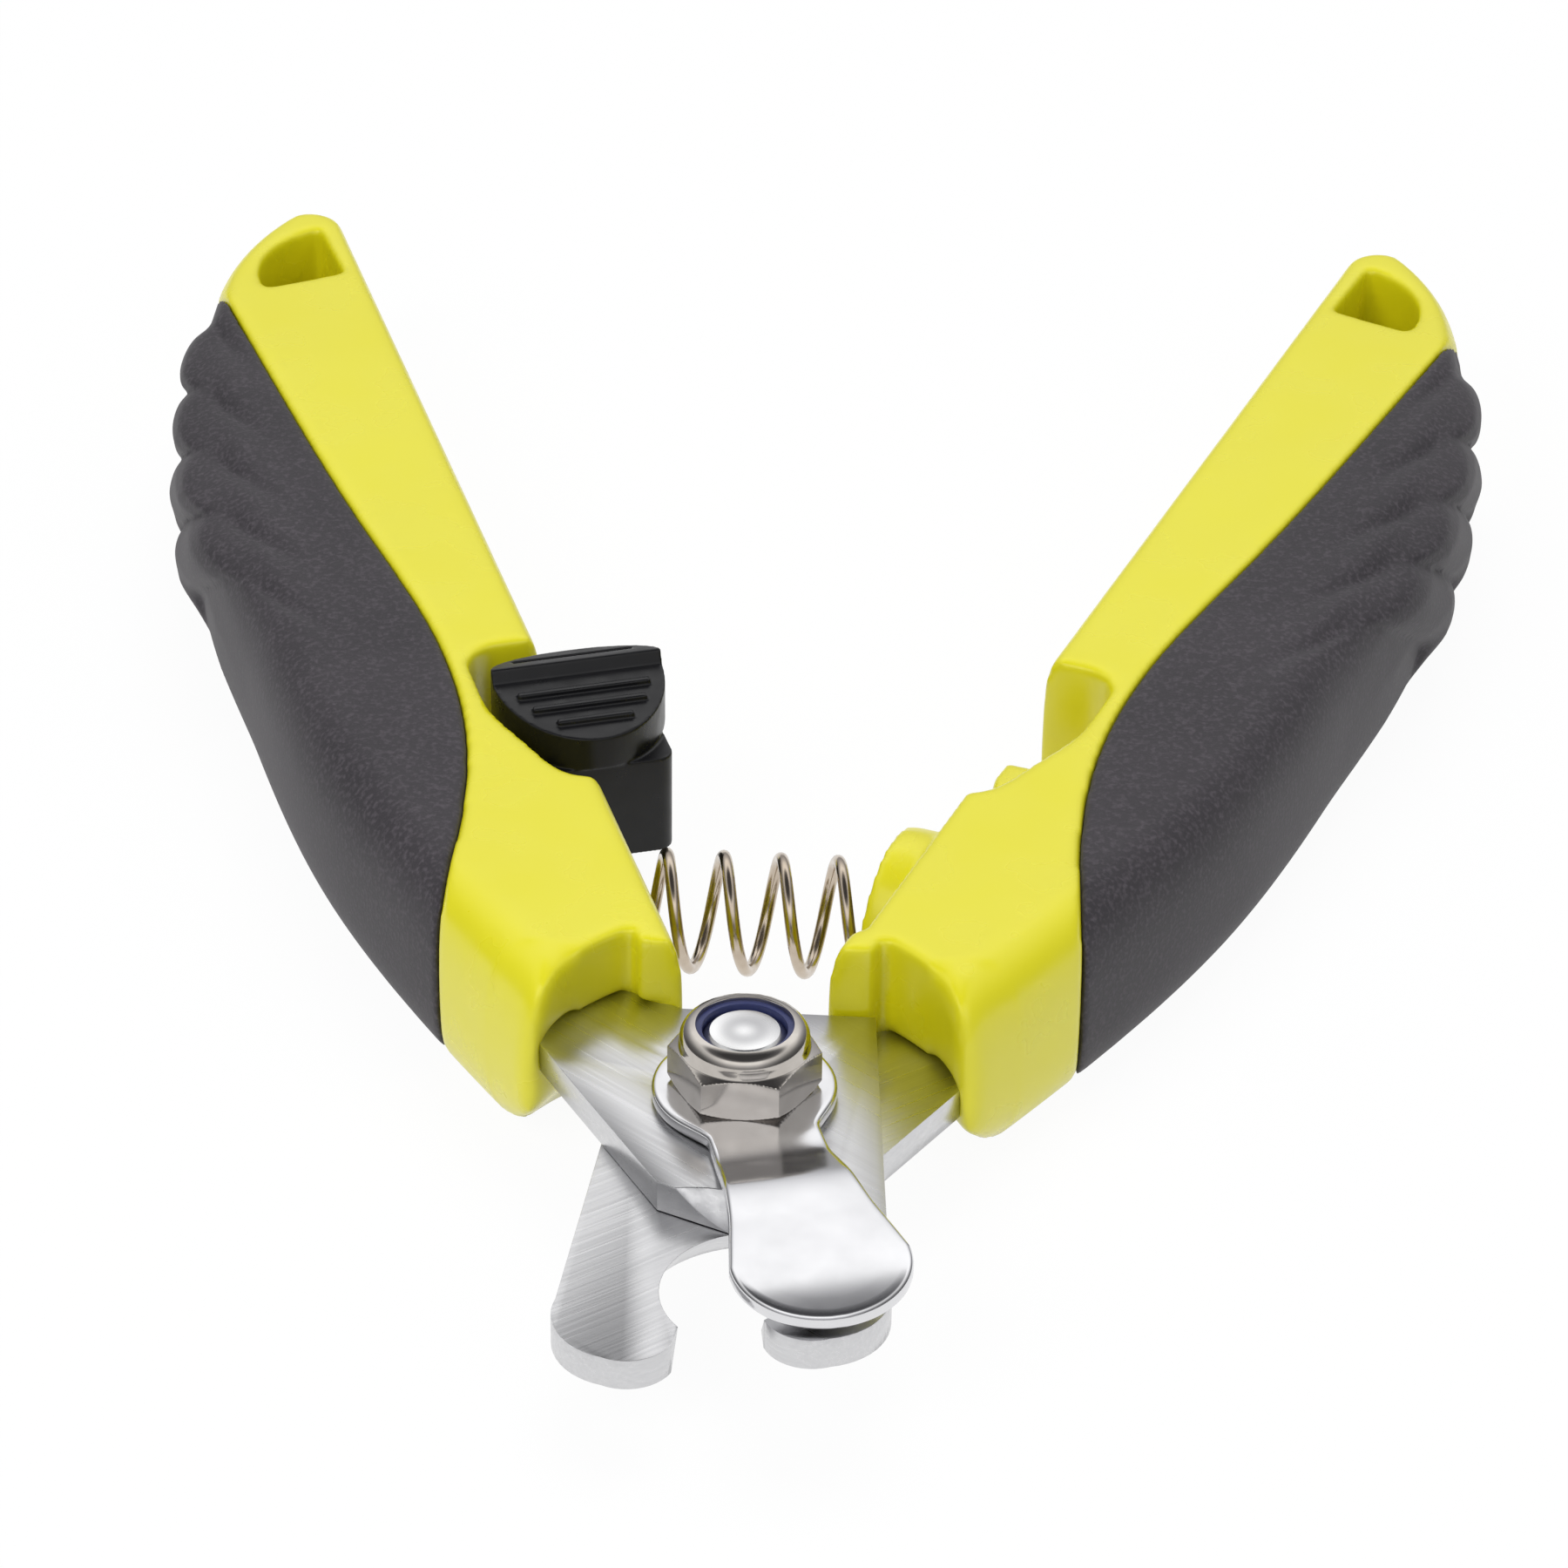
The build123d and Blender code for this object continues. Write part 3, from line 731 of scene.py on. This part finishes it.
@dataclass
class MachinedPiece:
    """Metal piece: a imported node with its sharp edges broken."""

    node: str
    body: Body
    finish: Finish
    edge: float = 0.12
    angle: float = 32.0
    segments: int = 2
    flat_angle: float = 0.5

    def build(self) -> Object:
        """Bevel a copy of the node and dress it.

        Returns:
            The dressed piece.
        """
        piece = node_copy(self.node, f"{self.node}_machined")
        with edited(piece.data) as shape:
            bmesh.ops.dissolve_limit(shape, angle_limit=math.radians(self.flat_angle), verts=shape.verts,
                                     edges=shape.edges)
        bevel = piece.modifiers.new("broken_edges", "BEVEL")
        bevel.width = self.edge * MM
        bevel.segments = self.segments
        bevel.limit_method = "ANGLE"
        bevel.angle_limit = math.radians(self.angle)
        bevel.harden_normals = True
        piece.data.shade_smooth()
        bake_modifiers(piece)
        crease(piece.data, self.angle)
        return dress(piece, self.finish, self.body, self.node)


def ring_mesh(name: str, rings: Sequence[Sequence[Vector]], closed: bool) -> Mesh:
    """Skin a list of closed rings of points.

    Args:
        name: Name of the mesh.
        rings: Rings of equal length, in metres.
        closed: Whether the last ring joins the first.

    Returns:
        Mesh with merged doubles and outward faces.
    """
    mesh = bpy.data.meshes.new(name)
    with edited(mesh) as shape:
        rows = [[shape.verts.new(point) for point in ring] for ring in rings]
        pairs = list(zip(rows, rows[1:])) + ([(rows[-1], rows[0])] if closed else [])
        for low, high in pairs:
            for k in range(len(low)):
                after = (k + 1) % len(low)
                shape.faces.new((low[k], low[after], high[after], high[k]))
        bmesh.ops.remove_doubles(shape, verts=shape.verts, dist=2 * MERGE * MM)
        bmesh.ops.dissolve_degenerate(shape, dist=MERGE * MM, edges=shape.edges)
        bmesh.ops.recalc_face_normals(shape, faces=shape.faces)
    return mesh


@dataclass
class LockNut:
    """Hexagon nut with chamfered corners and a rolled collar, drawn as rings about the pivot's axis."""

    base: float = 3.1
    flats: float = 8.0
    hex_height: float = 2.7
    collar_radius: float = 3.9
    collar_height: float = 4.2
    collar_round: float = 0.95
    bore: float = 2.55
    seat: float = 3.3
    seat_depth: float = 1.5
    lip: float = 0.3
    chamfer: float = 0.7
    chamfer_slope: float = 2.0
    shoulder: float = 0.08
    shoulder_slope: float = 1.9
    root_flare: float = 0.04
    root_step: float = 0.03
    root_height: float = 0.12
    round_steps: int = 6
    lip_in: float = 0.02
    lip_drop: float = 0.06
    crease: float = 24.0
    steps: int = 288
    rows: int = 44

    def hex_radius(self, angle: float) -> float:
        """Distance from the axis to the hexagon's side in a direction, a flat facing the blades."""
        sector = (angle + math.pi / 2 + math.pi / 6) % (math.pi / 3) - math.pi / 6
        return self.flats / 2 / math.cos(sector)

    def turned_radius(self, height: float) -> float:
        """Radius that the corner chamfers leave.

        Args:
            height: Height above the nut's base.

        Returns:
            The radius of the turned corners there.
        """
        corner = self.flats / math.sqrt(3)
        under = corner - self.chamfer + self.chamfer_slope * height
        over = self.collar_radius + self.shoulder + self.shoulder_slope * (self.hex_height - height)
        return min(corner, under, over)

    def profile(self) -> list[tuple[float, float, bool]]:
        """Follow the nut's section round, from its bore outwards and over the collar.

        Returns:
            Radius and height of each ring, and whether the hexagon cuts it.
        """
        hexagon = []
        for k in range(self.rows + 1):
            height = self.hex_height * (1 - math.cos(math.pi * k / self.rows)) / 2
            hexagon.append((self.turned_radius(height), height, True))
        top = self.collar_height
        inner = self.collar_radius - self.collar_round
        collar = [(self.collar_radius + self.root_flare, self.hex_height + self.root_step),
                  (self.collar_radius, self.hex_height + self.root_height)]
        for k in range(self.round_steps + 1):
            turn = math.pi / 2 * k / self.round_steps
            collar.append((inner + self.collar_round * math.cos(turn),
                           top - self.collar_round + self.collar_round * math.sin(turn)))
        collar += [(inner - self.lip_in, top - self.lip_drop), (inner, top - self.lip),
                   (self.seat, top - self.lip), (self.seat, top - self.seat_depth),
                   (self.bore, top - self.seat_depth)]
        return [(self.bore, 0.0, False), *hexagon, *((radius, height, False) for radius, height in collar)]

    def build(self) -> Object:
        """Skin the nut's rings and dress it.

        Returns:
            The dressed piece.
        """
        rings = []
        for radius, height, cut in self.profile():
            ring = []
            for k in range(self.steps):
                angle = 2 * math.pi * k / self.steps
                reach = min(radius, self.hex_radius(angle)) if cut else radius
                point = Vector((reach * math.cos(angle), reach * math.sin(angle), self.base + height))
                ring.append(PIVOT + point * MM)
            rings.append(ring)
        piece = new_piece("lock_nut_hex", ring_mesh("lock_nut_hex", rings, closed=True))
        crease(piece.data, self.crease)
        return dress(piece, NUT_NICKEL, Body.LEFT, "lock_nut")


def hermite(start: Value, start_way: Value, end: Value, end_way: Value, share: float) -> Value:
    """Smooth step from one value to another with the slopes given at both ends.

    Args:
        start: Value or point at the start.
        start_way: Slope there, over the whole step.
        end: Value or point at the end.
        end_way: Slope there, over the whole step.
        share: Share of the step that is done.

    Returns:
        Value or point at that share.
    """
    left = 1 - share
    return (start * ((1 + 2 * share) * left ** 2) + start_way * (share * left ** 2)
            + end * (share * share * (3 - 2 * share)) - end_way * (share * share * left))


def smooth_max(first: float, second: float, width: float) -> float:
    """Larger of two values, with the corner between them rounded over a width."""
    gap = max(width - abs(first - second), 0.0) / width
    return max(first, second) + gap * gap * width / 4


def spline(points: Sequence[tuple[float, float]], at: float) -> float:
    """Follow a smooth line through points.

    Args:
        points: Pairs of place and value, of rising place.
        at: Place to read.

    Returns:
        The value there; past the ends, the end's value.
    """
    last = len(points) - 1
    slopes = []
    for k in range(len(points)):
        before, after = points[max(k - 1, 0)], points[min(k + 1, last)]
        slopes.append((after[1] - before[1]) / (after[0] - before[0]))
    if at <= points[0][0]:
        return points[0][1]
    for k in range(last):
        (x0, y0), (x1, y1) = points[k], points[k + 1]
        if at <= x1:
            run = x1 - x0
            return hermite(y0, slopes[k] * run, y1, slopes[k + 1] * run, (at - x0) / run)
    return points[-1][1]


@dataclass
class NailGuard:
    """Sheet guard: a round head under the nut and a tongue that lifts, widens and turns down at its end."""

    base: float = 2.1
    thick: float = 1.0
    head: float = 5.55
    turn: float = 17.0
    hole: float = 2.55
    end: float = 23.95
    spine_end: float = 18.6
    rim: float = 0.32
    widths: list[tuple[float, float]] = field(default_factory=lambda: [
        (2.8, 3.4), (6.8, 3.42), (10.5, 3.75), (14.0, 4.2), (17.0, 4.85), (19.0, 5.3)])
    lifts: list[tuple[float, float]] = field(default_factory=lambda: [
        (5.5, 0.0), (7.5, 0.02), (9.4, 0.52), (11.5, 1.0), (15.0, 1.04), (19.0, 1.0), (21.0, 0.86),
        (22.6, 0.6), (24.5, 0.2)])
    neck_round: float = 1.2
    end_power: float = 2.3
    rim_insets: tuple[float, ...] = (0.2, 0.1, 0.03, 0.0)
    fills: tuple[float, ...] = (1.0, 0.8, 0.6, 0.4, 0.25, 0.12)
    fill_gap: float = 0.01
    bore_sides: int = 64
    crease: float = 40.0
    steps: int = 150

    def half_width(self, along: float) -> float:
        """Half of the guard's width.

        Args:
            along: Distance from the pivot towards the guard's end.

        Returns:
            The half width there.
        """
        disc = math.sqrt(max(self.head ** 2 - along ** 2, 0.0))
        if along < 0:
            return disc
        if along <= self.widths[-1][0]:
            tongue = spline(self.widths, along)
        else:
            start, wide = self.widths[-1]
            share = min((along - start) / (self.end - start), 1.0)
            tongue = wide * math.sqrt(max(1 - share ** self.end_power, 0.0))
        return smooth_max(disc, tongue, self.neck_round)

    def outline(self) -> list[tuple[float, float]]:
        """Draw the closed plan outline, with its points closer together at both ends.

        Returns:
            Pairs of distance across and distance along.
        """
        side = []
        for k in range(self.steps + 1):
            share = (1 - math.cos(math.pi * k / self.steps)) / 2
            along = -self.head + share * (self.end + self.head)
            side.append((self.half_width(along), along))
        return side + [(-across, along) for across, along in reversed(side[1:-1])]

    def place(self, across: float, along: float, height: float) -> Vector:
        """Place a point of the guard in the frame.

        Args:
            across: Distance across the guard.
            along: Distance from the pivot towards its end.
            height: Height over its lower face.

        Returns:
            The point in metres.
        """
        turn = math.radians(self.turn)
        lift = self.base + spline(self.lifts, along) + height
        return PIVOT + Vector((across * math.cos(turn) + along * math.sin(turn),
                               across * math.sin(turn) - along * math.cos(turn), lift)) * MM

    def levels(self) -> list[tuple[bool, float, float]]:
        """List the rings that skin the guard, from the middle of its upper face round to the lower one.

        Returns:
            Whether the ring lies on the rounded rim, its share of the way in or its inset, and its height.
        """
        rim = []
        for inset in (self.rim, *self.rim_insets):
            drop = self.rim - math.sqrt(max(self.rim ** 2 - (self.rim - inset) ** 2, 0.0))
            rim.append((inset, drop))
        upper = [(False, share, self.thick) for share in self.fills]
        upper += [(True, inset, self.thick - drop) for inset, drop in rim]
        lower = [(True, inset, drop) for inset, drop in reversed(rim)]
        lower += [(False, share, 0.0) for share in reversed(self.fills)]
        return upper + lower

    def ring(self, on_rim: bool, amount: float, height: float) -> list[Vector]:
        """Draw the outline in towards the guard's spine.

        Args:
            on_rim: Whether the ring lies on the rounded rim.
            amount: Inset on the rim, or else share of the way to the spine.
            height: Height over the guard's lower face.

        Returns:
            The ring's points in metres.
        """
        points = []
        for across, along in self.outline():
            spine = min(max(along, 0.0), self.spine_end)
            reach = max(math.hypot(across, along - spine), TINY)
            share = min(amount / reach, 1.0) if on_rim else amount
            if not on_rim and share < 1:
                share = max(share, min(self.rim / reach, 1.0) + self.fill_gap)
            points.append(self.place(across * (1 - share), along + (spine - along) * share, height))
        return points

    def bore(self, piece: Object) -> None:
        """Cut the pivot's hole.

        Args:
            piece: The guard without its hole.
        """
        middle = PIVOT + Vector((0, 0, self.base + self.thick / 2)) * MM
        mesh = bpy.data.meshes.new("guard_bore")
        with edited(mesh) as shape:
            bmesh.ops.create_cone(shape, cap_ends=True, segments=self.bore_sides, radius1=self.hole * MM,
                                  radius2=self.hole * MM, depth=4 * self.thick * MM,
                                  matrix=Matrix.Translation(middle))
        cutter = new_piece("guard_bore", mesh)
        cut = piece.modifiers.new("bore", "BOOLEAN")
        cut.object = cutter
        cut.solver = "EXACT"
        bake_modifiers(piece)
        bpy.data.objects.remove(cutter)

    def build(self) -> Object:
        """Skin the guard from its outline inwards, bore it and dress it.

        Returns:
            The dressed piece.
        """
        rings = [self.ring(*level) for level in self.levels()]
        piece = new_piece("nail_guard_sheet", ring_mesh("nail_guard_sheet", rings, closed=False))
        self.bore(piece)
        crease(piece.data, self.crease)
        return dress(piece, GUARD_STEEL, Body.GUARD, "nail_guard")


@dataclass
class OpeningSpring:
    """Coiled wire between the handles, swept by a node tree along its centre line."""

    wire: float = 0.8
    radius: float = 3.6
    pitch: float = 3.63
    turns: int = 6
    centre: float = 22.987
    foot: tuple[float, float] = (5.0, 28.5)
    steps: int = 40
    leg_steps: int = 12
    sides: int = 14

    def coil(self, turn: float) -> Vector:
        """Follow the coil.

        Args:
            turn: Number of turns from its left end.

        Returns:
            The point there, about the pivot.
        """
        angle = 2 * math.pi * turn
        return Vector((self.pitch * (turn - self.turns / 2), self.centre + self.radius * math.cos(angle),
                       self.radius * math.sin(angle)))

    def leg(self, side: int) -> list[Vector]:
        """Lead the wire from a seat's floor to the coil's end.

        Args:
            side: -1 for the left seat, 1 for the right one.

        Returns:
            Points from the floor to just before the coil, about the pivot.
        """
        out, along = half_ways(side)
        foot = out * self.foot[0] + along * self.foot[1]
        start = foot - out * self.wire
        end = self.coil(self.turns if side > 0 else 0)
        pull = (end - start).length
        coil_way = Vector((self.pitch, 0, 2 * math.pi * self.radius)).normalized() * -side
        points = [foot]
        for k in range(self.leg_steps):
            points.append(hermite(start, out * -pull, end, coil_way * pull, k / self.leg_steps))
        return points

    def path(self) -> list[Vector]:
        """Centre line from the left seat to the right one."""
        coil = [self.coil(k / self.steps) for k in range(self.turns * self.steps + 1)]
        return self.leg(-1) + coil + list(reversed(self.leg(1)))

    def sweep_tree(self) -> NodeTree:
        """Make the node tree that sweeps a round wire along a line of edges.

        Returns:
            The tree.
        """
        tree = bpy.data.node_groups.new("wire_sweep", "GeometryNodeTree")
        for name, way, kind in (("Line", "INPUT", "Geometry"), ("Wire Radius", "INPUT", "Float"),
                                ("Sides", "INPUT", "Int"), ("Wire", "OUTPUT", "Geometry")):
            tree.interface.new_socket(name, in_out=way, socket_type=f"NodeSocket{kind}")
        taken = add_node(tree, "NodeGroupInput")
        line = add_node(tree, "GeometryNodeMeshToCurve", {"Mesh": taken.outputs["Line"]})
        section = add_node(tree, "GeometryNodeCurvePrimitiveCircle", {
            "Resolution": taken.outputs["Sides"], "Radius": taken.outputs["Wire Radius"]})
        swept = add_node(tree, "GeometryNodeCurveToMesh", {
            "Curve": line.outputs[0], "Profile Curve": section.outputs[0], "Fill Caps": True})
        smooth = add_node(tree, "GeometryNodeSetShadeSmooth", {"Geometry": swept.outputs[0]})
        whole = add_node(tree, "GeometryNodeRealizeInstances", {"Geometry": smooth.outputs[0]})
        coated = add_node(tree, "GeometryNodeSetMaterial", {
            "Geometry": whole.outputs[0], "Material": WIRE_NICKEL.material()})
        add_node(tree, "NodeGroupOutput", {"Wire": coated.outputs[0]})
        return tree

    def build(self) -> Object:
        """Sweep the wire in place of the imported spring.

        Returns:
            The dressed piece.
        """
        points = [PIVOT + point * MM for point in self.path()]
        mesh = bpy.data.meshes.new("opening_spring_wire")
        mesh.from_pydata(points, [(k, k + 1) for k in range(len(points) - 1)], [])
        piece = new_piece("opening_spring_wire", mesh)
        tree = self.sweep_tree()
        sweep = piece.modifiers.new("wire", "NODES")
        sweep.node_group = tree
        keys = {item.name: item.identifier for item in tree.interface.items_tree}
        sweep[keys["Wire Radius"]] = self.wire / 2 * MM
        sweep[keys["Sides"]] = self.sides
        bake_modifiers(piece)
        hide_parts("opening_spring")
        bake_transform(piece)
        LOG.info("%s: %d faces, bends between the halves", piece.name, len(piece.data.polygons))
        return piece


@dataclass
class Handles:
    """Both handles with their grips, and the lock in the left one."""

    hard_voxel: float = 0.3
    hard_rounds: int = 18
    soft_voxel: float = 0.3
    soft_rounds: int = 8
    lock_voxel: float = 0.1
    lock_rounds: int = 4

    def build(self) -> None:
        """Build the moulded pieces."""
        for name, body, side in (("left", Body.LEFT, -1), ("right", Body.RIGHT, 1)):
            FrontRound(f"{name}_handle", body, LIME, self.hard_voxel, self.hard_rounds, side=side).build()
            RibbedGrip(f"{name}_grip", body, GRIP, self.soft_voxel, self.soft_rounds, side=side).build()
        MouldedPiece("lock_slide", Body.LOCK, BLACK, self.lock_voxel, self.lock_rounds).build()


@dataclass
class CuttingHead:
    """Blades, guard and the pivot that holds them."""

    guard: NailGuard = field(default_factory=NailGuard)
    nut: LockNut = field(default_factory=LockNut)
    bolt_edge: float = 0.06
    washer_edge: float = 0.08
    insert_edge: float = 0.1

    def build(self) -> None:
        """Build the metal pieces."""
        MachinedPiece("upper_blade", Body.LEFT, UPPER_STEEL).build()
        MachinedPiece("lower_blade", Body.RIGHT, LOWER_STEEL).build()
        MachinedPiece("pivot_bolt", Body.LEFT, STEEL, edge=self.bolt_edge).build()
        MachinedPiece("bolt_washer", Body.LEFT, STEEL, edge=self.washer_edge).build()
        MachinedPiece("nut_insert", Body.LEFT, NYLON, edge=self.insert_edge).build()
        self.guard.build()
        self.nut.build()
        for name in ("left_front_pin", "left_rear_pin", "right_front_pin", "right_rear_pin"):
            pin = frame["nodes"][name]
            pin.data.materials.clear()
            pin.data.materials.append(STEEL.material())


@dataclass(frozen=True)
class Lamp:
    """Square soft light that faces the clippers and doesn't show in metal; its lengths are in metres."""

    name: str
    place: tuple[float, float, float]
    size: float
    watts: float

    def hang(self) -> None:
        """Add the light to the scene."""
        data = bpy.data.lights.new(self.name, "AREA")
        data.shape = "SQUARE"
        data.size = self.size
        data.energy = self.watts
        light = bpy.data.objects.new(self.name, data)
        bpy.context.scene.collection.objects.link(light)
        light.visible_glossy = False
        light.location = self.place
        light.rotation_euler = (-Vector(self.place)).to_track_quat("-Z", "Y").to_euler()


@dataclass
class Studio:
    """Pale floor, soft lights, white surroundings and the camera at the photograph's angle.

    The tent is what metal mirrors: a colour for each height, dimmed towards both sides.
    """

    elevation: float = 31.898
    azimuth: float = -3.274
    roll: float = 0.725
    distance: float = 339.023
    across: float = -2.3896
    up: float = -20.386
    lens: float = 130.0
    sensor: float = 36.0
    clip: tuple[float, float] = (0.01, 50.0)
    floor_size: float = 4.0
    floor_drop: float = 0.05
    floor_colour: str = "F2F2F2"
    floor_glow: float = 0.95
    white: str = "FFFFFF"
    fill_colour: str = "F4F6FA"
    fill: float = 0.42
    tent: tuple[tuple[float, str], ...] = (
        (0.0, "88888A"), (0.2, "98989A"), (0.42, "C6C6C8"), (0.53, "E6E6E7"), (0.62, "FFFFFF"),
        (0.76, "FFFFFF"), (0.85, "6A6A6C"), (0.94, "404042"), (1.0, "404042"))
    aside: tuple[float, float] = (0.4, 0.9)
    aside_light: tuple[float, float] = (1.35, 0.4)
    lamps: tuple[Lamp, ...] = (
        Lamp("key_left", (-0.35, -0.5, 0.55), 0.4, 3.0),
        Lamp("fill_right", (0.5, -0.45, 0.4), 0.4, 0.8),
        Lamp("back_top", (0.05, 0.3, 0.8), 0.5, 3.6))

    def camera(self) -> None:
        """Place the camera as the photograph's was."""
        rise, way, roll = (math.radians(v) for v in (self.elevation, self.azimuth, self.roll))
        look = Vector((math.sin(way) * math.cos(rise), math.cos(way) * math.cos(rise), -math.sin(rise)))
        level = Vector((math.cos(way), -math.sin(way), 0))
        upright = level.cross(look)
        right = level * math.cos(roll) + upright * math.sin(roll)
        above = upright * math.cos(roll) - level * math.sin(roll)
        centre = PIVOT - (right * self.across + above * self.up + look * self.distance) * MM
        data = bpy.data.cameras.new("photo_camera")
        data.lens = self.lens
        data.sensor_width = self.sensor
        data.clip_start, data.clip_end = self.clip
        camera = bpy.data.objects.new("photo_camera", data)
        bpy.context.scene.collection.objects.link(camera)
        turned = Matrix((right, above, -look)).transposed()
        camera.matrix_world = Matrix.Translation(centre) @ turned.to_4x4()
        bpy.context.scene.camera = camera

    def seen(self, tree: NodeTree) -> NodeSocket:
        """Tell what the camera sees from what only gives light.

        Args:
            tree: Tree that takes the nodes.

        Returns:
            Socket that is one for what the camera sees, straight or in a mirror or glass.
        """
        path = add_node(tree, "ShaderNodeLightPath")
        mirrored = arithmetic("MAXIMUM", path.outputs["Is Camera Ray"], path.outputs["Is Glossy Ray"])
        return arithmetic("MAXIMUM", mirrored, path.outputs["Is Transmission Ray"])

    def floor(self) -> None:
        """Lay a pale floor that shows white and keeps a soft shadow."""
        half = self.floor_size / 2
        corners = [Vector((x, y, -self.floor_drop * MM))
                   for x, y in ((-half, -half), (half, -half), (half, half), (-half, half))]
        mesh = bpy.data.meshes.new("floor")
        mesh.from_pydata(corners, [], [(0, 1, 2, 3)])
        floor = new_piece("floor", mesh)
        made = bpy.data.materials.new("pale_floor")
        tree = empty_tree(made)
        matte = add_node(tree, "ShaderNodeBsdfDiffuse", {"Color": linear(self.floor_colour)})
        glow = add_node(tree, "ShaderNodeEmission", {"Color": linear(self.white), "Strength": 1.0})
        share = arithmetic("MULTIPLY", self.seen(tree), self.floor_glow)
        mixed = add_node(tree, "ShaderNodeMixShader", {0: share, 1: matte.outputs[0], 2: glow.outputs[0]})
        add_node(tree, "ShaderNodeOutputMaterial", {"Surface": mixed.outputs[0]})
        mesh.materials.append(made)

    def mirrored(self, tree: NodeTree) -> NodeSocket:
        """Add the tent's nodes.

        Args:
            tree: The world's tree.

        Returns:
            Socket with the tent's colour.
        """
        way = add_node(tree, "ShaderNodeTexCoord")
        parts = add_node(tree, "ShaderNodeSeparateXYZ", {"Vector": way.outputs["Generated"]})
        tent = add_node(tree, "ShaderNodeValToRGB", {"Fac": parts.outputs["Z"]})
        stops = tent.color_ramp.elements
        for position, code in self.tent[1:-1]:
            stops.new(position).color = linear(code)
        for place in (0, -1):
            stops[place].position = self.tent[place][0]
            stops[place].color = linear(self.tent[place][1])
        aside = arithmetic("ABSOLUTE", parts.outputs["X"], 0.0)
        dim = ramp(aside, self.aside, self.aside_light)
        sides = add_node(tree, "ShaderNodeVectorMath", {0: tent.outputs["Color"], "Scale": dim},
                         {"operation": "SCALE"})
        return sides.outputs[0]

    def world(self) -> None:
        """Set white surroundings for the camera, the tent for metal, and soft fill light."""
        world = bpy.data.worlds.new("studio")
        bpy.context.scene.world = world
        tree = empty_tree(world)
        path = add_node(tree, "ShaderNodeLightPath")
        shown = add_node(tree, "ShaderNodeMix", {
            "Factor": path.outputs["Is Glossy Ray"], MIX_FIRST: linear(self.white),
            MIX_SECOND: self.mirrored(tree),
        }, {"data_type": "RGBA"})
        bright = add_node(tree, "ShaderNodeBackground", {"Color": shown.outputs[MIX_RESULT], "Strength": 1.0})
        fill = add_node(tree, "ShaderNodeBackground", {
            "Color": linear(self.fill_colour), "Strength": self.fill})
        mixed = add_node(tree, "ShaderNodeMixShader", {
            0: self.seen(tree), 1: fill.outputs[0], 2: bright.outputs[0]})
        add_node(tree, "ShaderNodeOutputWorld", {"Surface": mixed.outputs[0]})

    def build(self) -> None:
        """Set up the studio."""
        self.floor()
        self.world()
        for lamp in self.lamps:
            lamp.hang()
        self.camera()
        bpy.context.scene.view_settings.view_transform = "Standard"


def main() -> None:
    """Build every sub-assembly and set the studio."""
    logging.basicConfig(level=logging.INFO, format="%(message)s")
    Handles().build()
    CuttingHead().build()
    OpeningSpring().build()
    Studio().build()


if __name__ == "__main__":
    main()
